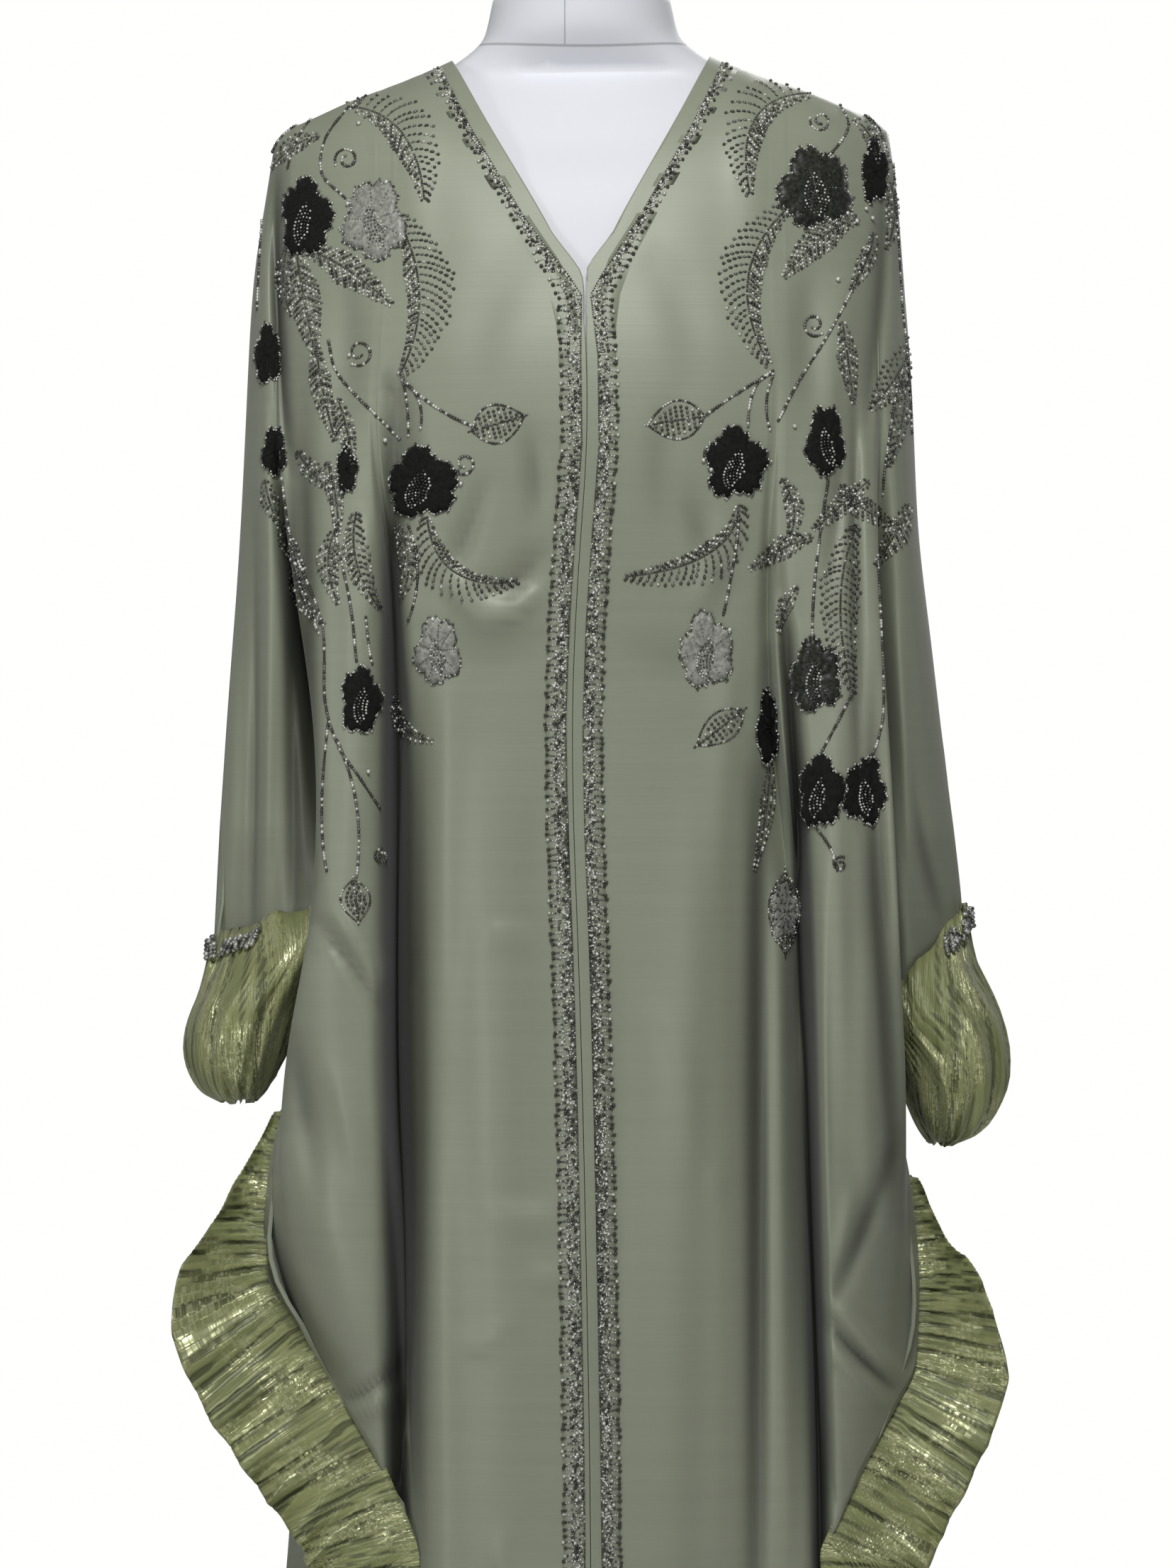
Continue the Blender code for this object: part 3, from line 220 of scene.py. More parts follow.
STEMS = (
    ((-151, 1421), (-166, 1400), (-168, 1378), (-153, 1362)),
    ((-150, 1424), (-176, 1412), (-190, 1382)), ((-140, 1428), (-150, 1420), (-146, 1421)),
    ((-164, 1269), (-158, 1248), (-134, 1222), (-118, 1206)),
    ((-117, 1248), (-113, 1230), (-112, 1208)), ((-114, 1243), (-105, 1230), (-104, 1213)),
    ((-114, 1242), (-92, 1225), (-70, 1214)), ((-112, 1150), (-106, 1120), (-112, 1088)),
    ((-184, 1128), (-168, 1086), (-166, 1036), (-158, 1008), (-144, 986), (-131, 966)),
    ((-164, 1022), (-168, 966), (-165, 926)), ((-158, 1010), (-146, 968), (-146, 922)),
    ((-140, 1090), (-138, 1070), (-136, 1060)),
    ((-163, 1190), (-160, 1150), (-150, 1100), (-146, 1062)),
    ((-194, 1180), (-190, 1150), (-182, 1110), (-170, 1080)),
    ((150, 1432), (174, 1424), (193, 1404), (198, 1386)),
    ((168, 1422), (173, 1408), (161, 1390), (148, 1380)),
    ((187, 1332), (175, 1302), (158, 1270), (140, 1242), (128, 1218)),
    ((124, 1248), (112, 1238), (108, 1214)), ((124, 1246), (120, 1230), (122, 1212)),
    ((80, 1221), (102, 1236), (124, 1250)), ((102, 1156), (99, 1128), (92, 1092)),
    ((192, 1128), (196, 1040), (193, 1012), (186, 996)), ((148, 958), (161, 942), (166, 926)),
    ((176, 1042), (160, 1010), (152, 996)), ((160, 1180), (152, 1120), (150, 1076)),
    ((205, 1240), (200, 1210), (196, 1170)),
    ((-152, 1424), (-178, 1413), (-197, 1398), (-205, 1372)),
    ((-205, 1372), (-208, 1330), (-210, 1290)),
    ((152, 1431), (174, 1423), (192, 1408), (200, 1386)), ((202, 1384), (205, 1340), (208, 1290)),
    ((208, 1290), (212, 1250), (214, 1210)))
SPARKS = (
    (172, 1352), (178, 1347), (184, 1355), (188, 1349), (166, 1309), (152, 1366), (-144, 1410),
    (-151, 1358), (-126, 1372), (-117, 1338), (-128, 1205), (-78, 1177), (79, 1192), (84, 1186),
    (138, 1214), (174, 1160), (-150, 1260), (96, 1082), (-96, 1089), (-139, 990), (164, 934))
CURLS = table("x z radius start turns", (
    (-152, 1387, 8, 3.6, -1.25), (-144, 1262, 9, 4.2, 1.2), (-76, 1190, 8, 3.4, 1.2),
    (-130, 935, 5, 1.6, 1.3), (155, 1412, 7, 2.9, 1.3), (151, 1280, 8, 5.4, -1.2),
    (86, 1197, 8, 5.6, -1.25), (168, 930, 5, 1.2, 1.1)))
DOTTED = table("x1 z1 x2 z2 half", (
    (-71, 1211, -37, 1221, 12), (80, 1221, 43, 1215, 12), (-148, 920, -145, 892, 9),
    (105, 1030, 75, 1007, 9), (132, 925, 132, 872, 10)))
BLOOMS = table("x z half_width half_height turn cloth node", (
    (-178, 1349, 17, 27, 0.2, "velvet", "applique_left_1"),
    (-134, 1347, 21, 27, 1, "grey", "applique_left_2"),
    (-103, 1177, 24, 24, 0.4, "velvet", "applique_left_3"),
    (-93, 1068, 15, 23, 0.8, "grey", "applique_left_4"),
    (-143, 1036, 13, 23, 0.1, "velvet", "applique_left_5"),
    (151, 1368, 25, 27, 0.7, "dark", "applique_right_1"),
    (100, 1190, 21, 24, 0.3, "velvet", "applique_right_2"),
    (158, 1204, 13, 24, 0.9, "velvet", "applique_right_3"),
    (81, 1068, 18, 25, 0.5, "grey", "applique_right_4"),
    (152, 1052, 17, 25, 0.6, "dark", "applique_right_5"),
    (156, 977, 15, 25, 0.2, "velvet", "applique_right_6"), (-203, 1260, 9, 20, 0.5, "velvet", ""),
    (-199, 1197, 8, 17, 0.9, "velvet", ""), (-152, 1186, 7, 17, 0.3, "velvet", ""),
    (190, 1379, 9, 22, 0.4, "velvet", ""), (121, 1018, 8, 26, 0.7, "velvet", ""),
    (184, 977, 15, 23, 1.2, "velvet", ""), (132, 899, 10, 21, 0.2, "grey", "")))


def colour_setting(name, description, default):
    return bpy.props.FloatVectorProperty(name=name, description=description, subtype="COLOR",
                                         size=3, default=default, min=0, max=1)


def power_setting(name, description, default):
    return bpy.props.FloatProperty(name=name, description=description, default=default, min=0,
                                   max=500, unit="POWER")


class AbayaCloth(bpy.types.PropertyGroup):
    """Colours and finish of the cloth."""

    satin: colour_setting("Satin", "Colour of the satin", (0.282, 0.302, 0.226))
    organza: colour_setting("Organza", "Colour of the organza in shade", (0.215, 0.236, 0.098))
    gilt: colour_setting("Gilt", "Colour of the organza's metal thread", (0.74, 0.77, 0.44))
    velvet: colour_setting("Velvet", "Colour of the dark applique", (0.006, 0.006, 0.005))
    crease_depth: bpy.props.FloatProperty(
        name="Crease depth", description="Strength of the soft creases", default=1.2,
        min=0, max=2, subtype="FACTOR")


class AbayaBeads(bpy.types.PropertyGroup):
    """Sizes and colours of the beadwork."""

    bead: bpy.props.FloatProperty(
        name="Bead", description="Width of a seed bead", default=1.7 * MM, min=0.8 * MM,
        max=3 * MM, unit="LENGTH")
    pitch: bpy.props.FloatProperty(
        name="Pitch", description="Distance between beads on a stem", default=1.9 * MM,
        min=1 * MM, max=6 * MM, unit="LENGTH")
    bright: colour_setting("Silver", "Colour of the bright beads", (0.80, 0.81, 0.75))
    dark: colour_setting("Gunmetal", "Colour of the dark beads", (0.055, 0.055, 0.048))


class AbayaStudio(bpy.types.PropertyGroup):
    """The form's colour and the light."""

    cover: colour_setting("Form cover", "Colour of the form's jersey cover",
                          (0.77, 0.785, 0.83))
    key: power_setting("Key light", "Power of the large front light", 29.0)
    fill: power_setting("Fill light", "Power of the side light", 8.5)
    rear: power_setting("Rear light", "Power of the light behind", 30.0)


# Meshes


def put(name, data):
    """A new object in the scene."""
    made = bpy.data.objects.new(name, data)
    bpy.context.scene.collection.objects.link(made)
    return made


def store(mesh, **values):
    """Keeps one number a point for the piece's material, by name."""
    for name, numbers in values.items():
        attribute = mesh.attributes.new(name, "FLOAT", "POINT")
        attribute.data.foreach_set("value", np.asarray(numbers, np.float32))


def array_mesh(name, points, faces):
    """A mesh from an array of points and an array of equal-sided faces."""
    count, sides = faces.shape
    mesh = bpy.data.meshes.new(name)
    mesh.vertices.add(len(points))
    mesh.vertices.foreach_set("co", np.asarray(points, np.float32).ravel())
    mesh.loops.add(count * sides)
    mesh.loops.foreach_set("vertex_index", np.asarray(faces, np.int32).ravel())
    mesh.polygons.add(count)
    mesh.polygons.foreach_set("loop_start", np.arange(0, count * sides, sides, dtype=np.int32))
    mesh.update(calc_edges=True)
    mesh.shade_smooth()
    return mesh


def add_piece(name, mesh, finish, nodes=()):
    """Puts a mesh in the scene, riding on the body and standing for its solids."""
    mesh.materials.append(finish)
    piece = put(name, mesh)
    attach(piece, "root")
    if nodes:
        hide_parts(*nodes)


def add_cloth(kind, node, mesh, points, finish, **values):
    """Adds a cloth shell with its moved points and the numbers that its material reads."""
    write_points(mesh, points)
    store(mesh, **values)
    add_piece(f"{kind}_{node}", mesh, finish, [node])


def read_points(mesh):
    points = np.empty(len(mesh.vertices) * 3, np.float32)
    mesh.vertices.foreach_get("co", points)
    return points.reshape(-1, 3).astype(np.float64)


def write_points(mesh, points):
    mesh.vertices.foreach_set("co", np.asarray(points, np.float32).ravel())
    mesh.update()


def merged_solid(node):
    body = bmesh.new()
    body.from_mesh(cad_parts[node].data)
    bmesh.ops.remove_doubles(body, verts=body.verts, dist=MERGE)
    return body


def smooth_shell(node, levels):
    """The solid's wall with its facets rejoined to quads and rounded, its rims kept in place."""
    body = merged_solid(node)
    bmesh.ops.join_triangles(body, faces=body.faces, angle_face_threshold=JOIN_ANGLE,
                             angle_shape_threshold=JOIN_SHAPE)
    rims = body.edges.layers.float.new("crease_edge")
    for edge in body.edges:
        if edge.is_manifold and edge.calc_face_angle() > RIM_ANGLE:
            edge[rims] = 1.0
    mesh = bpy.data.meshes.new(node + "_cage")
    body.to_mesh(mesh)
    body.free()
    cage = put(node + "_cage", mesh)
    smooth = cage.modifiers.new("Smooth", "SUBSURF")
    smooth.levels = smooth.render_levels = levels
    graph = bpy.context.evaluated_depsgraph_get()
    made = bpy.data.meshes.new_from_object(cage.evaluated_get(graph))
    bpy.data.objects.remove(cage)
    bpy.data.meshes.remove(mesh)
    made.shade_smooth()
    return made


def surface_of(*pieces):
    """Built pieces, by name, as one searchable surface."""
    body = bmesh.new()
    for piece in pieces:
        body.from_mesh(bpy.data.objects[piece].data)
    tree = BVHTree.FromBMesh(body)
    body.free()
    return tree


def lengths_along(line):
    steps = np.linalg.norm(np.diff(line, axis=0), axis=1)
    return np.concatenate([[0], np.cumsum(steps)])


def curve_points(controls, count):
    """Points along a smooth line through the controls."""
    controls = np.asarray(controls, float)
    if len(controls) == 3:
        t = np.linspace(0, 1, count)[:, None]
        middle = 2 * controls[1] - (controls[0] + controls[2]) / 2
        return (1 - t) ** 2 * controls[0] + 2 * t * (1 - t) * middle + t**2 * controls[2]
    padded = np.vstack([2 * controls[0] - controls[1], controls, 2 * controls[-1] - controls[-2]])
    made = []
    for s in np.linspace(0, len(controls) - 1 - 1e-9, count):
        k, u = int(s), s % 1
        a, b, c, d = padded[k:k + 4]
        made.append(0.5 * (2 * b + (c - a) * u + (2 * a - 5 * b + 4 * c - d) * u**2
                           + (3 * b - a - 3 * c + d) * u**3))
    return np.array(made)


def even_points(controls, pitch):
    """Points at an even pitch along a smooth line."""
    fine = curve_points(controls, FINE_STEPS)
    lengths = lengths_along(fine)
    stations = np.linspace(0, lengths[-1], max(2, int(lengths[-1] / pitch) + 1))
    return np.column_stack([np.interp(stations, lengths, fine[:, k]) for k in range(2)])


def pleats(turns, depth):
    """Rounded swells with narrow troughs between them, unequal from one to the next."""
    near = np.abs(turns - np.round(turns))
    order = np.round(turns)
    share = 0.55 + 0.45 * np.sin(order * 2.7 + 1.1 * np.sin(order * 1.3))
    return depth * (0.35 * np.sin(pi * near * 2) - share * np.exp(-((near / 0.13) ** 2)))


def seen_places(points):
    """Where points are seen on the front plane, in millimetres."""
    view = np.array((VIEW_POINT.x, VIEW_POINT.z))
    scale = -VIEW_POINT.y / (points[:, 1] - VIEW_POINT.y)
    return (view + (points[:, (0, 2)] - view) * scale[:, None]) / MM


def press_creases(points, creases, facing):
    """Moves cloth in and out along soft lines; gives how far at each point."""
    flat = seen_places(points) if facing > 0 else points[:, (0, 2)] / MM
    fold = np.zeros(len(points))
    for crease in creases:
        line = curve_points(np.reshape(crease[:6], (3, 2)), CREASE_STEPS)
        margin = 3 * crease.width
        near = ((flat > line.min(0) - margin) & (flat < line.max(0) + margin)).all(1)
        spot = flat[near]
        best = np.full(len(spot), 1e9)
        along = np.zeros(len(spot))
        for k, (a, b) in enumerate(zip(line, line[1:])):
            t = np.clip(((spot - a) @ (b - a)) / ((b - a) @ (b - a)), 0, 1)
            away = np.linalg.norm(spot - a - t[:, None] * (b - a), axis=1)
            closer = away < best
            best[closer] = away[closer]
            along[closer] = ((k + t) / (len(line) - 1))[closer]
        fade = np.sin(pi * np.clip(along, 0.02, 0.98)) ** 0.6
        fold[near] += crease.depth * fade * np.exp(-(best / crease.width) ** 2)
    points[:, 1] -= facing * fold * bpy.context.scene.abaya_cloth.crease_depth * MM
    # The depth also sets the satin's painted shade in troughs and painted highlight on ridges
    return fold


def close_neck(points, side):
    """Draws the inner edges together just above the point of the neckline."""
    inward = -OUTWARD[side]
    x, z = points[:, 0] / MM, points[:, 2] / MM
    fade = np.where(z < V_POINT[1], NECK_BELOW, NECK_ABOVE)
    nearness = np.clip(1.15 - np.abs(z - V_POINT[1]) / fade, 0, 1)
    edge = V_POINT[0] - inward * NECK_SLOPE * np.maximum(z - NECK_START, 0)
    moved = x + inward * NECK_PULL * nearness * np.exp(-((edge - x) / NECK_WIDTH) ** 2)
    limit = V_POINT[0] - inward * NECK_GAP
    crossing = (nearness > 0) & (inward * (moved - limit) > 0) & (inward * (x - limit) <= 0)
    points[:, 0] = np.where(crossing, limit, moved) * MM
    return points


def join_seams(points, cloth):
    """Draws the back's edges up to the fronts, where they are sewn together."""
    for k, point in enumerate(points):
        spot, _, _, away = cloth.find_nearest(Vector(point), SEAM_REACH * MM)
        if spot is not None and away > SEAM_GAP * MM:
            ease = min(1.0, (SEAM_REACH - away / MM) * 2 / SEAM_REACH)
            pull = min(away / MM - SEAM_GAP, SEAM_PULL) * ease
            points[k] += (np.array(spot) - point) / away * pull * MM


# Shading


def node(tree, kind, links=(), **values):
    """A shader node of a kind, with its settings, socket values and incoming links."""
    made = tree.nodes.new("ShaderNode" + kind)
    for key, value in values.items():
        setattr(made, key, value)
    for socket, source in links:
        if isinstance(source, bpy.types.NodeSocket):
            tree.links.new(source, made.inputs[socket])
        else:
            made.inputs[socket].default_value = source
    return made


def group(name, *outputs):
    """A shader node group that puts out the named numbers; gives it and its end node."""
    tree = bpy.data.node_groups.new(name, "ShaderNodeTree")
    for socket in outputs:
        tree.interface.new_socket(socket, in_out="OUTPUT", socket_type="NodeSocketFloat")
    return tree, tree.nodes.new("NodeGroupOutput")


def grouped(tree, part):
    return node(tree, "Group", node_tree=part).outputs


def new_material(name, **values):
    """A material and its shader, with constant values on the shader's sockets."""
    made = bpy.data.materials.new(name)
    made.use_nodes = True
    shader = made.node_tree.nodes["Principled BSDF"]
    for socket, value in values.items():
        shader.inputs[socket.replace("_", " ")].default_value = value
    return made, made.node_tree, shader


def feed(tree, target, **sources):
    """Links sources to a node's sockets, named with underscores for spaces."""
    for socket, source in sources.items():
        tree.links.new(source, target.inputs[socket.replace("_", " ")])


def calc(tree, operation, *values):
    return node(tree, "Math", enumerate(values), operation=operation).outputs[0]


def own_place(tree):
    return node(tree, "TexCoord").outputs["Object"]


def stored(tree, name):
    return node(tree, "Attribute", attribute_name=name).outputs["Fac"]


def noise(tree, place, scale, detail=2.0, distortion=0.0, stretch=None):
    if stretch:
        place = node(tree, "Mapping", [("Vector", place), ("Scale", stretch)]).outputs[0]
    return node(tree, "TexNoise", [
        ("Vector", place), ("Scale", scale), ("Detail", detail),
        ("Distortion", distortion)]).outputs[0]


def mixed(tree, factor, a, b, **values):
    return node(tree, "Mix", [("Factor", factor), ("A", a), ("B", b)],
                data_type="RGBA", **values).outputs["Result"]


def bumped(tree, height, strength, distance):
    return node(tree, "Bump", [("Height", height), ("Strength", strength),
                               ("Distance", distance)]).outputs[0]


def ramp(tree, source, *stops):
    """A colour or grey that changes from stop to stop."""
    made = node(tree, "ValToRGB", [("Fac", source)])
    points = made.color_ramp.elements
    while len(points) < len(stops):
        points.new(0.5)
    for point, (place, value) in zip(points, stops):
        point.position = place
        point.color = (value, value, value, 1) if isinstance(value, float) else (*value, 1)
    return made.outputs["Color"]


def shades(colour, *factors):
    return [tuple(min(1.0, channel * factor) for channel in colour) for factor in factors]


def weave_group():
    """Fine crosswise slubs and a slow change of tone, from the cloth's own place."""
    tree, end = group("Satin weave", "Tone", "Height")
    place = own_place(tree)
    height = calc(tree, "ADD", noise(tree, place, 1.0, 3.0, stretch=FINE_SLUBS),
                  noise(tree, place, 1.0, stretch=COARSE_SLUBS))
    total = calc(tree, "ADD", height, noise(tree, place, 7.0))
    feed(tree, end, Tone=calc(tree, "MULTIPLY", total, 0.333), Height=height)
    return tree


def crinkle_group():
    """Metal thread glints in patches and a fine crinkle that runs with the gathers."""
    tree, end = group("Organza crinkle", "Glint", "Shade", "Height")
    place = node(tree, "CombineXYZ", [("X", stored(tree, "gather")),
                                      ("Y", stored(tree, "reach"))]).outputs[0]
    threads = noise(tree, place, 1100.0, 3.0, 0.4, (1, 0.08, 1))
    folds = noise(tree, place, 230.0, 2.0, 0.4, (1, 0.10, 1))
    crackle = noise(tree, place, 620.0, 4.0, 1.2, (1, 0.60, 1))
    patches = ramp(tree, noise(tree, place, 30.0, 1.0, 0.0, (1, 0.7, 1)),
                   (0.47, 0.0), (0.60, 1.0))
    shine = calc(tree, "MULTIPLY", calc(tree, "ADD", crackle, threads), 0.5)
    glint = calc(tree, "MULTIPLY", ramp(tree, shine, (0.48, 0.0), (0.58, 1.0)), patches)
    # Painted shade: dark in the pleats' troughs, from the stored pleat depth
    trough_shade = ramp(tree, stored(tree, "crest"), (0.0, 0.0), (0.05, 0.55), (0.18, 1.0))
    # and painted shade along noise folds, whose noise also makes the bump
    fine = ramp(tree, folds, (0.32, 0.45), (0.58, 1.0))
    feed(tree, end, Glint=glint, Shade=calc(tree, "MULTIPLY", trough_shade, fine),
         Height=calc(tree, "ADD", folds, threads))
    return tree


def satin_material():
    made, tree, shader = new_material(
        "Sage satin", Roughness=0.46, Sheen_Weight=0.15, Sheen_Roughness=0.4, Metallic=0.05,
        Specular_IOR_Level=0.45)
    weave = grouped(tree, weave_group())
    dark, light = shades(bpy.context.scene.abaya_cloth.satin, 0.96, 1.04)
    colour = ramp(tree, weave["Tone"], (0.34, dark), (0.66, light))
    # Painted shade in the creases' troughs and a painted highlight on their ridges, from the
    # stored fold depth
    depth = calc(tree, "MULTIPLY_ADD", stored(tree, "fold"), 1 / SHADE_FOLD_RANGE, 0.5)
    feed(tree, shader, Normal=bumped(tree, weave["Height"], 0.10, 0.0005),
         Base_Color=mixed(tree, 1.0, colour, ramp(tree, depth, *PAINTED_FOLD_SHADING),
                          blend_type="MULTIPLY"))
    return made


def organza_material():
    cloth = bpy.context.scene.abaya_cloth
    made, tree, shader = new_material(
        "Olive organza", Sheen_Weight=0.2, Sheen_Roughness=0.35, Specular_IOR_Level=0.6,
        Anisotropic=0.3)
    crinkle = grouped(tree, crinkle_group())
    # Dark and light copies of the organza's colour, mixed by the painted shade
    dark, light = shades(cloth.organza, 0.58, 1.32)
    shade = mixed(tree, crinkle["Shade"], (*dark, 1), (*light, 1))
    glint = crinkle["Glint"]
    feed(tree, shader, Base_Color=mixed(tree, glint, shade, (*cloth.gilt, 1)),
         Roughness=ramp(tree, glint, (0.0, 0.42), (1.0, 0.24)),
         Metallic=ramp(tree, glint, (0.0, 0.10), (1.0, 0.75)),
         Normal=bumped(tree, crinkle["Height"], 0.6, 0.0014))
    return made


def bead_material():
    """Beads from gunmetal to silver, by the tone stored on each one."""
    beads = bpy.context.scene.abaya_beads
    made, tree, shader = new_material("Silver beads", Specular_IOR_Level=0.8, Coat_Weight=0.4)
    tone = stored(tree, "tone")
    feed(tree, shader, Base_Color=ramp(tree, tone, (0.0, beads.dark),
                                       (0.45, shades(beads.bright, 0.30)[0]),
                                       (1.0, beads.bright)),
         Roughness=ramp(tree, tone, (0.0, 0.26), (1.0, 0.20)),
         Metallic=ramp(tree, tone, (0.0, 0.45), (1.0, 0.40)))
    return made


def nap_material(name, colour, roughness, spread, sheen):
    """Velvet or short-napped applique cloth."""
    made, tree, shader = new_material(name, Roughness=roughness, Sheen_Weight=sheen,
                                      Sheen_Roughness=0.35, Specular_IOR_Level=0.3)
    nap = noise(tree, own_place(tree), 420.0, 4.0)
    dark, light = shades(colour, 1 - spread, 1 + spread)
    feed(tree, shader, Base_Color=ramp(tree, nap, (0.35, dark), (0.65, light)),
         Normal=bumped(tree, nap, 0.5, 0.0006))
    return made


def cover_material():
    """White jersey with the seam round the neck's base and one up the neck."""
    cover = bpy.context.scene.abaya_studio.cover
    made, tree, shader = new_material("White form cover", Roughness=0.62, Sheen_Weight=0.15)
    place = own_place(tree)
    x, y, z = node(tree, "SeparateXYZ", [("Vector", place)]).outputs
    bow = calc(tree, "MULTIPLY", calc(tree, "MULTIPLY", x, x), NECK_BOW)
    level = calc(tree, "SUBTRACT", z, bow)
    ring = calc(tree, "ABSOLUTE", calc(tree, "SUBTRACT", level, NECK_SEAM))
    middle = calc(tree, "ABSOLUTE", calc(tree, "ADD", x, NECK_UPRIGHT))
    above = calc(tree, "GREATER_THAN", level, NECK_SEAM)
    upright = calc(tree, "MULTIPLY", calc(tree, "LESS_THAN", middle, UPRIGHT_HALF), above)
    upright = calc(tree, "MULTIPLY", upright, calc(tree, "LESS_THAN", y, 0.0))
    groove = calc(tree, "MAXIMUM", calc(tree, "LESS_THAN", ring, RING_HALF), upright)
    feed(tree, shader,
         Base_Color=ramp(tree, groove, (0.0, cover), (1.0, shades(cover, 0.62)[0])),
         Normal=bumped(tree, noise(tree, place, 1400.0), 0.12, 0.0004))
    return made


def steel_material():
    made, tree, shader = new_material("Satin steel", Base_Color=(0.52, 0.52, 0.53, 1),
                                      Metallic=1.0, Roughness=0.34)
    lines = noise(tree, own_place(tree), 1.0, stretch=(60, 60, 1200))
    feed(tree, shader, Roughness=ramp(tree, lines, (0.3, 0.30), (0.7, 0.40)))
    return made


def finish_for(name, make, *values):
    """A material by name, made the first time it is wanted."""
    return bpy.data.materials.get(name) or make(*values)


# Beadwork

BALL_SIDES = 6  # a bead is two six-sided cones, base to base
TURNS = [2 * pi * k / BALL_SIDES for k in range(BALL_SIDES)]
BALL = np.array([(0, -1, 0), *[(cos(turn), 0, sin(turn)) for turn in TURNS], (0, 1, 0)])
PAIRS = [(1 + k, 1 + (k + 1) % BALL_SIDES) for k in range(BALL_SIDES)]
BALL_FACES = np.array([(0, a, b) for a, b in PAIRS] + [(BALL_SIDES + 1, b, a) for a, b in PAIRS])


def bead_mesh(name, centres, shapes, tones):
    """One mesh of beads from their centres, the shapes about these and the beads' tones."""
    points = centres[:, None] + shapes
    faces = BALL_FACES[None] + len(BALL) * np.arange(len(centres))[:, None, None]
    mesh = array_mesh(name, points.reshape(-1, 3), faces.reshape(-1, 3))
    store(mesh, tone=np.repeat(tones, len(BALL)))
    return mesh


class Beadwork:
    """Beads gathered as places on the front plane, then dropped onto the cloth."""

    def __init__(self):
        self.rows = []

    def add(self, x, z, size, tone, lift=0.0, along=(0.0, 0.0)):
        """A bead; along draws it out to a bugle, as a direction times the added length."""
        self.rows.append((x, z, size, tone, lift, *along))

    def mesh(self, name, cloth):
        radius = bpy.context.scene.abaya_beads.bead / 2
        centres, aims, kept = [], [], []
        for row in self.rows:
            x, z, size, _, lift, along_x, along_z = row
            hit, normal = drop(cloth, x, z)
            if hit is not None:
                centres.append(hit + normal * (radius * 0.5 * size + lift * MM))
                aim = Vector((along_x, 0, along_z))
                aims.append(aim - normal * aim.dot(normal))
                kept.append(row)
        aims, kept = np.array(aims), np.array(kept)
        lengths = np.linalg.norm(aims, axis=1)
        units = aims / np.maximum(lengths, 1e-9)[:, None]
        reach = (BALL @ units.T).T * lengths[:, None]
        shapes = BALL[None] + reach[:, :, None] * units[:, None]
        return bead_mesh(name, np.array(centres), shapes * (kept[:, 2] * radius)[:, None, None],
                         kept[:, 3])


def drop(cloth, x, z):
    """Where a place on the front plane is seen on the cloth, and the normal there."""
    aim = (Vector((x * MM, 0, z * MM)) - VIEW_POINT).normalized()
    hit, normal, _, _ = cloth.ray_cast(VIEW_POINT, aim)
    if hit is None:
        return None, None
    return hit, normal if normal.dot(aim) < 0 else -normal


def sparkle(low):
    """A bead's tone: dark, middling or bright, with more bright ones for a higher value."""
    return float(CHANCE.choice((0.03, 0.35, 0.95), p=(0.75 - low, 0.30, low - 0.05)))


def stem(work, controls, size=1.2):
    spots = even_points(controls, bpy.context.scene.abaya_beads.pitch / MM)
    for (x, z), along in zip(spots, np.gradient(spots, axis=0)):
        work.add(x, z, size * between(0.85, 1.2), sparkle(0.32), 0,
                 along / np.linalg.norm(along) * 0.3)


def curl(work, row):
    angles = row.start + row.turns * 2 * pi * np.linspace(0, 1, CURL_STEPS)
    radii = row.radius * np.linspace(1.0, 0.3, CURL_STEPS)
    stem(work, np.column_stack([row.x + radii * np.cos(angles), row.z + radii * np.sin(angles)]))


def fern(work, row):
    """A curved spine with dense rows of silver beads or separate dark barbs on each side."""
    spine = even_points(np.reshape(row[:6], (3, 2)), FERN_PITCH)
    ends = np.gradient(spine, axis=0)
    ends /= np.linalg.norm(ends, axis=1)[:, None]
    run = len(spine) * FERN_PITCH
    for x, z in spine:
        work.add(x, z, 0.95, sparkle(0.12))
    for turn, reach in ((1, row.left), (-1, row.right)):
        dense = row.dense in (0, -turn)
        count = max(4, int(run / (FERN_ROW if dense else BARB_GAP)))
        for k in range(count + 1):
            t = k / count
            place = int(t * (len(spine) - 1))
            side = np.array((-ends[place][1], ends[place][0])) * turn
            length = reach * leaf_width(t)
            if dense:
                fill_row(work, spine[place], side * 0.82 + ends[place] * 0.62, length, k % 2)
            else:
                barb(work, spine[place], side * 0.92, ends[place], length, t)


def leaf_width(t):
    """A fern's half width along its spine, as a share of the full one."""
    return min(1.0, 0.30 + 2.4 * t) * (1 - 0.85 * max(0.0, t - 0.35) ** 1.25 / 0.58)


def fill_row(work, root, slant, reach, light):
    """A slanting row of close beads, light or dark."""
    length = reach * between(0.92, 1.05)
    count = max(1, int(length / 2.0))
    for b in range(1, count + 1):
        tone = sparkle(0.60 if light else 0.22)
        work.add(*(root + slant * length * b / count), between(0.95, 1.3), tone, 0,
                 slant * 0.3)


def barb(work, root, side, end, reach, t):
    """A curved barb of dark beads that grow towards its end."""
    length = reach * between(0.9, 1.08)
    beads = max(3, int(length / BARB_BEAD))
    for b in range(1, beads + 1):
        u = b / beads
        slant = side + end * (0.10 + 0.55 * u * (0.6 + 0.6 * t))
        work.add(*(root + slant * length * u), 0.9 + 0.45 * u, sparkle(0.10), 0,
                 slant * 0.45 * (b < beads))
        work.add(*(root + slant * length * (u - 0.5 / beads)), 0.5, 0.4)


